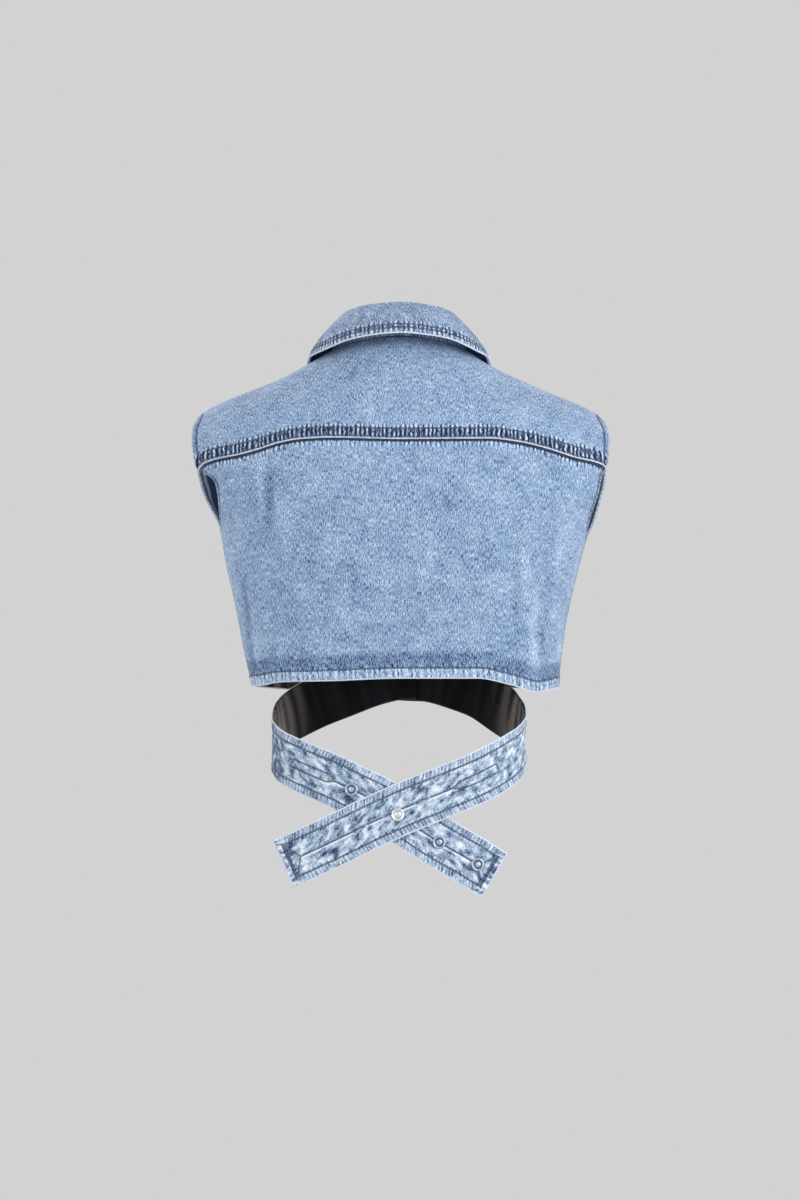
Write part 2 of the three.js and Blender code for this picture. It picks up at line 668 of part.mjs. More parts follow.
// The leaf rolls over the stand's top edge and falls to its outer edge with a slight crown.
function collarLeaf() {
  const rolled = (t, { out, up }) => {
    const fold = collarLine(COLLAR_FOLD, t);
    return fold.addScaledVector(inward(fold), -out).setZ(fold.z + up);
  };
  const fallen = (t, down) => {
    const start = rolled(t, COLLAR_ROLL[COLLAR_ROLL.length - 1]);
    const point = start.clone().lerp(collarLine(COLLAR_EDGE, t), down);
    const crown = COLLAR_CROWN * Math.sin(Math.PI * down);
    return point.addScaledVector(inward(start), -crown).setZ(point.z + crown / 2);
  };
  const row = (pointAt) => steps(COLLAR_STEPS).map((part) => pointAt(1 - 2 * part));
  const rows = [
    ...COLLAR_ROLL.map((place) => row((t) => rolled(t, place))),
    ...steps(LEAF_ROWS).slice(1).map((down) => row((t) => fallen(t, down))),
  ];
  return wall(rows, COLLAR_CLOTH);
}

// A sewn-on metal button with a rim and a hollowed face, standing on a point along its outward direction.
function button(point, normal) {
  const profile = BUTTON_PROFILE.map(({ out, up }) => (
    new THREE.Vector2(out * BUTTON_DIAMETER / 2, up * BUTTON_THICKNESS)));
  const geometry = new THREE.LatheGeometry(profile, BUTTON_SIDES);
  const turn = new THREE.Quaternion().setFromUnitVectors(new THREE.Vector3(0, 1, 0), normal);
  const seat = point.clone().addScaledVector(normal, LAYER_GAP);
  return geometry.applyMatrix4(new THREE.Matrix4().compose(seat, turn, new THREE.Vector3(1, 1, 1)));
}

// A place on a strap's outer face, by its distance from the free end.
function strapFrame(stations, fromEnd) {
  const curve = strapCurve(stations);
  const along = 1 - fromEnd / curve.getLength();
  const tangent = curve.getTangentAt(along);
  const upward = strapPoint(curve, along, 1).sub(strapPoint(curve, along, -1));
  const normal = tangent.cross(upward).normalize();
  const point = curve.getPointAt(along);
  const outward = new THREE.Vector3(point.x, point.y, 0);
  return { point, normal: normal.dot(outward) < 0 ? normal.negate() : normal };
}

const finish = {
  body: { color: '#8fa6c5', roughness: 0.9, metalness: 0 },
  yoke: { color: '#90a9c8', roughness: 0.9, metalness: 0 },
  front: { color: '#8ca4c3', roughness: 0.9, metalness: 0 },
  collar: { color: '#869eba', roughness: 0.9, metalness: 0 },
  strap: { color: '#9fb0c6', roughness: 0.88, metalness: 0 },
  button: { color: '#c9ced6', roughness: 0.32, metalness: 1 },
};

const vest = new THREE.Group();

function sew(name, geometry, look) {
  const mesh = new THREE.Mesh(geometry, new THREE.MeshStandardMaterial(look));
  mesh.name = name;
  vest.add(mesh);
}

sew('back_panel', backPanel(), finish.body);
sew('yoke', yoke(), finish.yoke);
sew('front_left', front(1), finish.front);
sew('front_right', front(-1), finish.front);
sew('placket', placket(), finish.front);
sew('collar_stand', collarStand(), finish.collar);
sew('collar_leaf', collarLeaf(), finish.collar);
sew('strap_left', strap(LEFT_STRAP, 1), finish.strap);
sew('strap_right', strap(RIGHT_STRAP, -1), finish.strap);

const waistFastening = strapFrame(RIGHT_STRAP, strapCurve(RIGHT_STRAP).getLength() - FRONT_OVERLAP);
sew('waist_button', button(waistFastening.point, waistFastening.normal), finish.button);

STRAP_BUTTON_FROM_END.forEach((fromEnd, i) => {
  const { point, normal } = strapFrame(LEFT_STRAP, fromEnd);
  point.addScaledVector(normal, i === FASTENED_BUTTON ? FASTENED_LIFT : 0);
  sew(`strap_button_${i + 1}`, button(point, normal), finish.button);
});

PLACKET_BUTTON_HEIGHTS.forEach((z, i) => {
  const { point, normal } = rightFrontFrame(0, z);
  point.addScaledVector(normal, PLACKET_GAP + PLACKET_CLOTH);
  sew(`front_button_${i + 1}`, button(point, normal), finish.button);
});

export default vest;
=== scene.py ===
import math
from bisect import bisect_right

import bmesh
import bpy
from bpy.props import FloatProperty, FloatVectorProperty, PointerProperty
from mathutils import Matrix, Vector, noise


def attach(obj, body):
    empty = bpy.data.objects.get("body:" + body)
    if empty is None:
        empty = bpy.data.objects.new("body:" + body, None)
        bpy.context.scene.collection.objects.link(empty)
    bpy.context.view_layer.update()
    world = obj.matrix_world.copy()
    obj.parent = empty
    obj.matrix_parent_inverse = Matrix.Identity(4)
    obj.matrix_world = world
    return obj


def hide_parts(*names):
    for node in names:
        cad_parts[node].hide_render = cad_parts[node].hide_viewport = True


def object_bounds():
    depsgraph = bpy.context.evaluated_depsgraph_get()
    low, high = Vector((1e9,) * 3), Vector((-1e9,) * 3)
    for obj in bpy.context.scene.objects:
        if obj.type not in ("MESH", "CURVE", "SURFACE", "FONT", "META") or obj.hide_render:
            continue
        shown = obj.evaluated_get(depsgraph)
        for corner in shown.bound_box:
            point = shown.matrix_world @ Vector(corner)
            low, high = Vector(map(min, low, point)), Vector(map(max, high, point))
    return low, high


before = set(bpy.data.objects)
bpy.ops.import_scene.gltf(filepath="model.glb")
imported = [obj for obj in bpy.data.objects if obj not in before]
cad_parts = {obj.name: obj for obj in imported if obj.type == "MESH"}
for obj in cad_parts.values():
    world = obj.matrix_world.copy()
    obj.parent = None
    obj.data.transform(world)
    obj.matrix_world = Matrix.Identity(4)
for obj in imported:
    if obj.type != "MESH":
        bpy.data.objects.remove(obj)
cad_low, cad_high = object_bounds()

bl_info = {
    "name": "Denim vest",
    "version": (1, 0, 0),
    "blender": (4, 5, 0),
    "location": "View3D > Sidebar > Vest",
    "description": "Builds a cropped denim vest with crossed waist straps on its CAD frame",
    "category": "Object",
}

MM = 0.001

# Room left at seams and between layers, and the width of what is sewn on.
SEAM_GAP = 0.1
SIDE_SEAM_GAP = 0.1
LAYER_GAP = 0.3
PLACKET_GAP = 0.55
PLACKET_CLOTH = 1.6
STRAP_WIDTH = 54
PLACKET_WIDTH = 32
BODY_CLOTH = 2
COLLAR_CLOTH = 2.4
STRAP_CLOTH = 3

# How square the level sections are, and the height of the rounding from the shoulder down to the chest.
BACK_POWER = 2.6
FRONT_ROUND = 55

# The neckline as a share of the shoulder, with its turns from the shoulder line.
NECK_SHARE = 0.285
NECK_TURN_BACK = math.radians(25)
NECK_TURN_FRONT = math.radians(70)
NECK_ANGLE_END = math.radians(117)
NECK_FRONT_Z = -58
YOKE_NECK_PART = 0.54
FRONT_SEAM_TURN = math.radians(35)

# How the fronts overlap, and where the waistband's top edge leaves them for the notch at the side.
FRONT_OVERLAP = 16
UNDERLAP_DEPTH = 3.6
UNDERLAP_FADE = 26
NECK_COLUMNS = 0.42
WAIST_COLUMNS = 0.74
NOTCH_X = {1: 117, -1: 119}
SIDE_HEM = {1: -340, -1: -342}
UNDERARM = {1: -177, -1: -191}
DRAW_START = 0.62

# How far the collar's fold rolls out, where the neck's middle lies and how far the leaf bulges.
COLLAR_ROLL = 3.6
COLLAR_CENTRE_Y = -8
COLLAR_CROWN = 3.2


class Table:
    """Measured sizes in rows with named columns, read between the rows along a smooth curve."""

    def __init__(self, columns, rows):
        rows = sorted(rows)
        self.keys = [row[0] for row in rows]
        self.columns = {}
        for index, name in enumerate(columns.split()):
            values = [row[index] for row in rows]
            self.columns[name] = (values, self.slopes(values))

    def slopes(self, values):
        """The slope at each row: none at a peak, and the mean of its two sides elsewhere."""
        steps = [
            (values[i + 1] - values[i]) / (self.keys[i + 1] - self.keys[i])
            for i in range(len(values) - 1)
        ]
        inner = [0 if a * b <= 0 else 2 * a * b / (a + b) for a, b in zip(steps, steps[1:])]
        return [steps[0], *inner, steps[-1]]

    def at(self, place, name):
        """One column at a place between the rows."""
        values, slopes = self.columns[name]
        if place <= self.keys[0]:
            return values[0]
        if place >= self.keys[-1]:
            return values[-1]
        i = bisect_right(self.keys, place) - 1
        gap = self.keys[i + 1] - self.keys[i]
        s = (place - self.keys[i]) / gap
        rise = values[i + 1] - values[i]
        start = slopes[i] * gap
        end = slopes[i + 1] * gap
        return values[i] + s * start + s * s * (3 * rise - 2 * start - end) + s**3 * (start + end - 2 * rise)


# Half girths of the sections. Above the underarm they run on past the armhole's edge.
GIRTH = Table("z back_left back_right front_left front_right", [
    (40, 232, 234, 234, 236),
    (-83, 231, 234, 236, 240),
    (-113, 225, 232, 237, 243),
    (-127, 211, 225, 230, 237),
    (-142, 201.6, 219, 221.4, 230.4),
    (-158, 194.8, 208.6, 204.6, 219),
    (-170, 190, 202.4, 193, 209.6),
    (-177, 188.2, 199.4, 188.2, 204.6),
    (-186, 186.6, 195.6, 186.6, 197.2),
    (-191, 185.8, 194.1, 185.8, 194.1),
    (-215, 181.5, 187.5, 181.5, 187.5),
    (-245, 174.6, 180, 174.6, 180),
    (-278, 168, 173.2, 168, 173.2),
    (-310, 162, 169, 162, 169),
    (-345, 153.6, 165.5, 153.6, 165.5),
])

# Half widths of the garment's own edge: the armhole down to the underarm.
EDGE = Table("z back_left back_right front_left front_right", [
    (-50, 211, 210, 211, 210),
    (-60, 213.5, 213, 213.5, 213),
    (-71, 217.6, 217.8, 217.6, 217.8),
    (-84, 218.4, 219.4, 218.4, 219.4),
    (-101, 216, 218, 216.4, 218.6),
    (-113, 212.5, 215.5, 214, 218),
    (-120, 200.5, 212, 212.5, 217.2),
    (-127, 194, 210.5, 211, 216.4),
    (-142, 191, 207, 206, 212.6),
    (-158, 189.4, 200.6, 197.6, 208),
    (-170, 188.4, 198, 190.8, 204),
    (-177, 188.1, 196.2, 188.1, 200.6),
    (-186, 186.6, 194.8, 186.6, 196.2),
    (-191, 185.8, 194, 185.8, 194),
])

# Depth of the body behind and in front of the middle, and how square the fronts are.
DEPTH = Table("z back front front_power", [
    (40, 107, 34, 2.4),
    (0, 109, 46, 2.4),
    (-58, 112, 73, 2.4),
    (-113, 116, 99, 2.4),
    (-150, 120, 117, 2.4),
    (-190, 119, 129, 2.4),
    (-222, 116, 128, 2.4),
    (-262, 110, 116, 2.3),
    (-302, 104, 99, 2.2),
    (-350, 98, 96, 2),
])

# The top line of the shoulders, the yoke's seam and the back hem, seen from behind.
SHOULDER = Table("x z", [
    (-213, -61),
    (-206, -53),
    (-191, -44.4),
    (-169, -35.6),
    (-142, -24.4),
    (-115, -12.4),
    (-92, -0.8),
    (-72, 12),
    (-45, 27.6),
    (0, 38),
    (45, 28),
    (72, 13.4),
    (97, -1),
    (128, -17.4),
    (160, -30.4),
    (187, -41),
    (205, -50.5),
    (213, -59),
])
SHOULDER_END_Z = -61
YOKE_SEAM = Table("x z", [
    (-216, -114.5),
    (-206, -108),
    (-176, -101),
    (-147, -92),
    (-118, -85),
    (-88, -81.5),
    (0, -82),
    (69, -80.5),
    (99, -82),
    (121, -86),
    (143, -93),
    (165, -98.6),
    (187, -102.6),
    (202, -107),
    (213, -114.5),
])
BACK_HEM = Table("x z", [
    (-166, -342),
    (-143, -346.5),
    (-128, -342.5),
    (-112, -338),
    (-80, -332),
    (0, -332),
    (70, -334.6),
    (124, -336),
    (144, -339.5),
    (154, -340.5),
])
BACK_HEM_END_Z = -342

# The fold along the top of the collar and the outer edge of its leaf, from the right front (-1) round the
# back (0) to the left front (1).
COLLAR_FOLD = Table("t x y z", [
    (-1, -13, -71, -30),
    (-0.8, -36, -60, -12),
    (-0.6, -55, -35, 16),
    (-0.45, -62.5, -5, 37),
    (-0.3, -56, 24, 50),
    (-0.15, -33, 43, 59),
    (0, 0, 49, 62.4),
    (0.15, 33, 43, 59.6),
    (0.3, 57, 24, 51.5),
    (0.45, 64, -5, 40),
    (0.6, 56, -35, 18),
    (0.8, 36, -60, -11),
    (1, 13, -71, -29),
])
COLLAR_EDGE = Table("t x y z", [
    (-1, -66, -98, -93),
    (-0.8, -86, -76, -58),
    (-0.6, -97, -36, -12),
    (-0.45, -93.5, 6, 3.6),
    (-0.3, -80, 46, 11),
    (-0.15, -47, 72, 24),
    (0, 0, 80, 29.4),
    (0.15, 47, 72, 23.6),
    (0.3, 80, 46, 11.6),
    (0.45, 96.5, 6, 3.4),
    (0.6, 99, -36, -12),
    (0.8, 87, -76, -58),
    (1, 66, -98, -93),
])

# The middle line of each waistband half and strap, on its outer face, from the front to the free end.
STRAP_STATIONS = {
    1: [
        (-16, -94, -328),
        (4, -94, -329),
        (20, -94.1, -332.5),
        (36, -95.6, -337.5),
        (60, -93.1, -347),
        (85, -85.1, -357),
        (105, -73.3, -367),
        (118, -60, -375),
        (129, -39, -386),
        (133.6, -10, -397),
        (133, 20, -405),
        (124, 46, -414),
        (104, 65, -424),
        (78, 77, -435),
        (50, 83, -448),
        (16, 85.4, -465),
        (-12, 85, -484),
        (-40, 82.4, -502.5),
        (-72, 77, -521),
        (-99, 71, -538),
    ],
    -1: [
        (16, -98, -328),
        (-8, -98, -329.5),
        (-32, -97, -331),
        (-60, -93.1, -339),
        (-85, -85.1, -349),
        (-105, -73.3, -363.5),
        (-118, -60, -374),
        (-128, -39, -384),
        (-132, -10, -394),
        (-131, 20, -402),
        (-122, 49, -412),
        (-102, 70, -425),
        (-76, 83, -438),
        (-43, 89, -451.5),
        (-8, 90, -465.5),
        (27, 90, -481),
        (63, 89, -498.5),
        (97, 86, -514.5),
        (122, 82.5, -526),
    ],
}

# Folds and creases: a line from one place to another with its width and its depth, all in mm. Depth is
# positive for a ridge. The places are x and z, and on the fronts x is counted from the middle to either side.
BACK_FOLDS = [
    ((141, -95), (143, -200), 9, -3),
    ((122, -105), (130, -250), 13, 1.8),
    ((-134, -180), (-138, -345), 9, 2.6),
    ((-116, -130), (-119, -330), 11, -1.8),
    ((40, -190), (28, -330), 18, 1.4),
    ((-40, -120), (-30, -260), 20, -1.2),
]
FRONT_FOLDS = [
    ((92, -205), (78, -340), 12, 3),
    ((66, -225), (58, -330), 10, -2.4),
    ((124, -150), (118, -300), 13, -2),
]

# Fine creases of the back: long pale and dark ones down its sides and wavy ones across it.
BACK_CREASES = [
    ((133, -92), (139, -186), 6, -1.1),
    ((145, -100), (146, -180), 4, 0.6),
    ((130, -100), (131, -160), 3.4, 0.5),
    ((166, -206), (153, -340), 4.5, -1.1),
    ((158, -230), (146, -340), 3.4, 0.5),
    ((-128, -170), (-132, -254), 4.6, 0.8),
    ((-136, -246), (-141, -344), 4.4, 0.9),
    ((-147, -262), (-151, -330), 4, -0.6),
    ((-120, -200), (-124, -300), 4, -0.5),
    ((-60, -224), (10, -221), 3.4, 0.3),
    ((-20, -236), (70, -241), 3.6, -0.3),
    ((-110, -262), (-10, -256), 3.4, 0.35),
    ((-70, -275), (60, -279), 4, -0.35),
    ((-120, -292), (-30, -287), 3.6, 0.35),
    ((20, -268), (110, -262), 3.4, 0.3),
    ((-30, -300), (100, -306), 4, 0.35),
    ((60, -232), (130, -228), 3.4, -0.3),
    ((-128, -216), (-60, -222), 3.6, -0.3),
    ((-172, -150), (-164, -250), 6, 0.35),
    ((-160, -160), (-152, -280), 5, -0.5),
]

# Fine creases of the fronts.
FRONT_CREASES = [
    ((86, -210), (76, -338), 3.4, 0.7),
    ((98, -230), (90, -338), 3, -0.6),
    ((60, -240), (54, -326), 3.2, 0.6),
    ((44, -262), (42, -318), 3, -0.5),
    ((150, -180), (110, -200), 4, 0.5),
    ((140, -196), (96, -226), 4, -0.5),
    ((70, -90), (120, -140), 5, -0.4),
    ((120, -96), (160, -130), 5, 0.4),
]


def mix(a, b, share):
    """The value that lies a share of the way from a to b."""
    return a + (b - a) * share


def smooth(low, high, value):
    """A soft step from 0 at low to 1 at high."""
    part = min(1, max(0, (value - low) / (high - low)))
    return part * part * (3 - 2 * part)


def bump(value, middle, width):
    """A soft ridge of height 1 at middle."""
    return math.exp(-(((value - middle) / width) ** 2))


def line_folds(folds, x, z):
    """The height of the folds at a place: each fades out at its ends and sides."""
    total = 0
    for (x0, z0), (x1, z1), width, depth in folds:
        run_x = x1 - x0
        run_z = z1 - z0
        length = math.hypot(run_x, run_z)
        along = ((x - x0) * run_x + (z - z0) * run_z) / length**2
        if 0 < along < 1:
            off = ((x - x0) * run_z - (z - z0) * run_x) / length
            total += depth * math.sin(math.pi * along) * bump(off, 0, width)
    return total


# The body's form


def column_for(side, hand):
    """The column of a table for the back or front of the wearer's left or right."""
    return ("back" if side > 0 else "front") + ("_right" if hand < 0 else "_left")


def girth(side, hand, z):
    """Half the girth of the level section."""
    return GIRTH.at(z, column_for(side, hand))


def edge_angle(side, hand, z):
    """The angle round the level section of the garment's edge."""
    full = girth(side, hand, z)
    if z <= UNDERARM[1 if hand >= 0 else -1]:
        return math.pi / 2
    return math.asin(min(1, EDGE.at(z, column_for(side, hand)) / full))


def across(side, share, z):
    """Distance from the middle at a share of the way to the edge: 1 is the left edge, and -1 the right."""
    return girth(side, share, z) * math.sin(share * edge_angle(side, share, z))


def share_of(side, x, z):
    """The share of the way to the edge for a distance from the middle."""
    return math.asin(x / girth(side, x, z)) / edge_angle(side, x, z)


def section_depth(side, x, z):
    """How far the level section stands behind or in front of the middle. Its folds fade out at the sides."""
    power = BACK_POWER if side > 0 else DEPTH.at(z, "front_power")
    deepest = DEPTH.at(z, "back" if side > 0 else "front")
    part = min(1, abs(x) / girth(side, x, z))
    folds = line_folds(BACK_FOLDS, x, z) if side > 0 else line_folds(FRONT_FOLDS, abs(x), z)
    return deepest * (1 - part**power) ** (1 / power) + folds * (1 - part**4)


def shoulder_z(share):
    """Height of the shoulder line."""
    return SHOULDER.at(across(1, share, SHOULDER_END_Z), "z")


def yoke_seam_z(share):
    """Height of the yoke's back seam."""
    return YOKE_SEAM.at(across(1, share, SHOULDER_END_Z), "z")


def rounding_height(side, share):
    """Height over which the cloth rounds off below the shoulder line."""
    return shoulder_z(share) - yoke_seam_z(share) if side > 0 else FRONT_ROUND


def body_point(side, share, z):
    """A point of the garment: side is 1 behind and -1 in front."""
    x = across(side, share, z)
    fall = min(1, max(0, (shoulder_z(share) - z) / rounding_height(side, share)))
    rounding = math.sqrt(1 - (1 - fall) ** 2)
    return Vector((x, side * (rounding * section_depth(side, x, z) + SIDE_SEAM_GAP / 2), z))


def shoulder_point(share, turn):
    """A point near the shoulder line, at a turn from it: positive to the back, negative to the front."""
    side = -1 if turn < 0 else 1
    z = shoulder_z(share) - rounding_height(side, share) * (1 - math.cos(turn))
    x = across(side, share, z)
    return Vector((x, math.sin(turn) * section_depth(side, x, z), z))


def yoke_neck(place):
    """The share and turn of the yoke's neckline: 1 is its left front end, 0 the middle of the back."""
    angle = place * NECK_ANGLE_END
    reach = NECK_TURN_BACK if math.cos(angle) > 0 else NECK_TURN_FRONT
    return NECK_SHARE * math.sin(angle), reach * math.cos(angle)


def front_neck(hand, place):
    """Share and height of the front's neckline: 0 is its edge at the middle and 1 its end at the yoke."""
    top = shoulder_point(*yoke_neck(hand))
    low = math.asin(-FRONT_OVERLAP / abs(top.x))
    angle = mix(low, math.pi / 2, place)
    z = NECK_FRONT_Z + (top.z - NECK_FRONT_Z) * (1 - math.cos(angle))
    return share_of(-1, top.x * math.sin(angle), z), z


def neck_point(t):
    """The neckline all round, from the middle of the left front (1) to that of the right front (-1)."""
    if abs(t) <= YOKE_NECK_PART:
        return shoulder_point(*yoke_neck(t / YOKE_NECK_PART))
    part = (abs(t) - YOKE_NECK_PART) / (1 - YOKE_NECK_PART)
    return body_point(-1, *front_neck(-1 if t < 0 else 1, 1 - part))


# Pieces of cloth as grids of points


def lengths_down(rows):
    """How far each point lies from the first row, along its column."""
    result = [[0.0] * len(rows[0])]
    for above, here in zip(rows, rows[1:]):
        result.append([far + (p - q).length for far, p, q in zip(result[-1], here, above)])
    return result


def lengths_along(rows):
    """How far each point lies from the first column, along its row."""
    result = []
    for row in rows:
        line = [0.0]
        for p, q in zip(row, row[1:]):
            line.append(line[-1] + (q - p).length)
        result.append(line)
    return result


def outward(rows):
    """The outward direction at each point."""
    last_row = len(rows) - 1
    last = len(rows[0]) - 1
    result = []
    for r, row in enumerate(rows):
        above = rows[max(r - 1, 0)]
        below = rows[min(r + 1, last_row)]
        line = []
        for c in range(last + 1):
            along = row[min(c + 1, last)] - row[max(c - 1, 0)]
            line.append((below[c] - above[c]).cross(along).normalized())
        result.append(line)
    return result


def stations(length, fine_start, fine_end, fine, coarse):
    """Shares from 0 to 1 along a length: close together for a way at the two ends, and wider between."""
    places = [0.0]
    while places[-1] < length:
        here = places[-1]
        near_end = here < fine_start or here >= length - fine_end
        places.append(here + (fine if near_end else coarse))
    return [place / places[-1] for place in places]


# How far apart the rows and columns of each piece lie: the length that they cover, how far they lie close
# together at its start and at its end, and their close and their wide spacing. In mm. Those along a strap
# cover the strap's own length.
GRIDS = {
    "back_across": (430, 8, 8, 1.1, 1.9),
    "back_down": (252, 5, 20, 1, 2.2),
    "yoke_arm": (150, 6, 6, 1.4, 2.4),
    "yoke_seam": (430, 0, 0, 1.15, 1.15),
    "yoke_down": (125, 3, 16, 1.1, 2.6),
    "front_across": (250, 8, 8, 1.2, 2),
    "front_down": (310, 5, 10, 1.4, 2.3),
    "placket_across": (PLACKET_WIDTH, 3, 3, 0.8, 1.4),
    "placket_down": (270, 3, 3, 1.2, 2),
    "stand_along": (430, 0, 0, 2.4, 2.4),
    "stand_up": (30, 3, 3, 1.2, 2),
    "leaf_along": (470, 6, 6, 1.1, 1.7),
    "leaf_down": (44, 0, 13, 1, 1.7),
    "strap_along": (None, 0, 14, 1.1, 1.5),
    "strap_across": (STRAP_WIDTH, 12, 12, 0.95, 1.5),
}


def grid_shares(name, length=None):
    """The places of a piece's rows or columns, as shares from 0 to 1."""
    covered, *spacing = GRIDS[name]
    return stations(length or covered, *spacing)


# The finish of plain cloth, far from any stitched edge.
FAR = 99.0
UNMARKED = dict(tone_and_shade=0.0, held=0.0, phase=0.0, off=FAR, row_a=FAR, row_b=FAR, worn=0.0)


class Piece:
    """A cut piece: its outer face as rows of points, how far they lie from its edges, and their finish.

    lift is how far a point stands out, in mm. The finish has these marks, which the cloth's material reads:
    the first is below 0 where the cloth is darker and above 0 where it is paler, from its own tone and from
    painted shade and painted highlights, off is the way in mm to the nearest stitched edge, worn how pale
    that edge is, row_a and row_b are the ways to its rows of stitches, and phase and held are the turn and
    the strength of the waves beside them."""

    def __init__(self, rows):
        self.rows = rows
        self.height = len(rows)
        self.width = len(rows[0])
        self.normals = outward(rows)
        down = lengths_down(rows)
        along = lengths_along(rows)
        self.top = down
        self.bottom = [[end - far for far, end in zip(line, down[-1])] for line in down]
        self.start = along
        self.end = [[line[-1] - far for far in line] for line in along]
        self.u = [[far - line[-1] / 2 for far in line] for line in along]
        self.v = [[-far for far in line] for line in down]
        self.lift = self.blank()
        self.finish = {key: self.blank(value) for key, value in UNMARKED.items()}

    def centre_grain(self, column):
        """Counts the way across from one column, so that the threads run straight down there."""
        self.u = [[far - line[column] for far in line] for line in self.start]

    def blank(self, value=0.0):
        """A grid of one value."""
        return [[value] * self.width for _ in range(self.height)]

    def cells(self):
        """Every row and column."""
        return ((r, c) for r in range(self.height) for c in range(self.width))

    def surface(self):
        """The points with their lift."""
        return [
            [p + n * h for p, n, h in zip(*line)] for line in zip(self.rows, self.normals, self.lift)
        ]


# A stitched edge: its width, the places of its stitch rows, how far it is raised, the depth and pitch of its
# puckers, how unevenly they lie, how closely they keep to the rows, how strongly they show, how much darker
# it is between its rows, how pale its outer edge is, whether its rows get a dark line of painted shade and
# how far its puckers lean. Sizes in mm.
BAND_COLUMNS = (
    "width", "rows", "raised", "depth", "pitch", "uneven", "split", "tint", "dark", "worn", "lined", "slant",
)
BAND_ROWS = {
    "yoke_seam": (12.6, (2.4, 11.4), 0.75, 0.5, 4.7, 2.6, 0.3, 3.5, 1.5, 1, True, 0),
    # The band under the yoke has no stitches: its row is a groove with a dark line of painted shadow below
    # the yoke's edge.
    "under_yoke": (5, (0.9,), 0, 0.3, 4.7, 2.6, 0, 1.3, 0, 0, True, 0),
    "hem": (12.5, (11.6,), 0.6, 0.34, 6.4, 5, 0, 0.95, -0.3, 1, True, 0.1),
    "armhole": (6, (5.4,), 0.4, 0.2, 5.2, 3, 0, 0.7, 0.45, 0.55, True, 0),
    "seam_edge": (7, (0.2, 6.2), 0.35, 0.25, 6, 3, 0, 0.8, 0.4, 0, True, 0),
    "collar_edge": (13.4, (6.4, 10.6), 0.5, 0.42, 5.2, 3.4, 0.55, 2.5, 0.7, 1, True, 0),
    "strap_edge": (10, (8.8,), 0.35, 0.35, 4.2, 4, 0, 0.6, -0.1, 1, True, 0.4),
    "strap_end": (10, (7, 9), 0.35, 0.35, 6.5, 5, 0, 0.9, 0.2, 1, True, 0.2),
    "placket": (6, (5,), 0.25, 0.2, 5, 3, 0, 0.7, 0, 0.7, False, 0),
}
BANDS = {name: dict(zip(BAND_COLUMNS, row)) for name, row in BAND_ROWS.items()}

# How the puckers of a stitched edge wander: the length over which their spacing drifts, the length and width
# over which a line of them bends, and those over which they grow strong and weak. In mm.
PUCKER_DRIFT = 11
PUCKER_BEND = (5, 3.5)
PUCKER_PATCH = (5, 6)
BEND_TURN = 1.5
PATCH_MIDDLE = 0.75
PATCH_SWING = 1.7

# Where puckers begin from the edge, how far inside its width they begin to fade and how far beyond it they
# have faded and end, and how closely they gather at a row of stitches. In mm.
PUCKER_START = 1.6
FADE_INSIDE = 1.5
FADE_BEYOND = 5
PUCKER_REACH = 9
ROW_GATHER = 2

# How far the edge rolls in and over which width, how its raised cloth steps down at its width, and the depth
# and width of the groove that stitches draw. In mm.
EDGE_ROLL = 0.7
ROLL_WIDTH = 1.3
GROOVE_DEPTH = 0.35
GROOVE_WIDTH = 0.75
STEP_INSIDE = 0.6
STEP_BEYOND = 1.2

# Edges that have faded to less than this share are left out.
LEAST_SHARE = 0.02


def pucker_wave(band, place, far, seed):
    """The turn and the strength of the puckers, at a place along a stitched edge and a way in from it."""
    phase = math.tau * place / band["pitch"] + band["slant"] * far
    phase += band["uneven"] * noise.noise(Vector((place / PUCKER_DRIFT, seed, 0.5)))
    phase += BEND_TURN * noise.noise(Vector((place / PUCKER_BEND[0], far / PUCKER_BEND[1], seed + 9)))
    patch = noise.noise(Vector((place / PUCKER_PATCH[0], far / PUCKER_PATCH[1], seed + 5)))
    return phase, max(0, PATCH_MIDDLE + PATCH_SWING * patch)


def between_rows(rows, far):
    """1 between two rows of stitches, or from the edge in to its only row."""
    share = 1 - smooth(rows[-1] - 1, rows[-1] + 1, far)
    if len(rows) > 1:
        share *= smooth(rows[0] - 1, rows[0] + 1.5, far)
    return share


def apply_band(piece, name, off, along, seed, keep=None):
    """Gives a stitched edge its raised cloth, puckers, worn edge and stitch grooves.

    off is how far each point lies from the edge, along how far it lies along it, and keep a share by which
    it fades out."""
    band = BANDS[name]
    width, rows, finish = band["width"], band["rows"], piece.finish
    for r, c in piece.cells():
        far = off[r][c]
        share = keep[r][c] if keep else 1
        if far > width + PUCKER_REACH or far < 0 or share <= LEAST_SHARE:
            continue
        phase, strength = pucker_wave(band, along[r][c], far, seed)
        gathered = max(bump(far, row, ROW_GATHER) for row in rows)
        held = smooth(0, PUCKER_START, far) * share
        held *= 1 - smooth(width - FADE_INSIDE, width + FADE_BEYOND, far)
        held *= mix(1, gathered, band["split"])
        groove = GROOVE_DEPTH * max(bump(far, row, GROOVE_WIDTH) for row in rows)
        raised = band["raised"] * (1 - smooth(width - STEP_INSIDE, width + STEP_BEYOND, far))
        rolled = EDGE_ROLL * (1 - smooth(0, ROLL_WIDTH, far))
        piece.lift[r][c] += share * (raised - rolled - groove)
        piece.lift[r][c] += held * band["depth"] * strength * math.sin(phase)
        finish["tone_and_shade"][r][c] -= band["dark"] * between_rows(rows, far) * share
        if held * band["tint"] > finish["held"][r][c]:
            finish["held"][r][c] = held * band["tint"] * strength
            finish["phase"][r][c] = phase
        if far < finish["off"][r][c] and share > 0.5:
            finish["off"][r][c] = far
            finish["worn"][r][c] = band["worn"]
            if band["lined"]:
                finish["row_a"][r][c] = far - rows[0]
                finish["row_b"][r][c] = far - rows[-1]


# Painted highlight and shade of a fine crease: how much paler its ridge and darker its trough is for each mm
# of its depth.
CREASE_PAINTED_LIGHT = 0.7


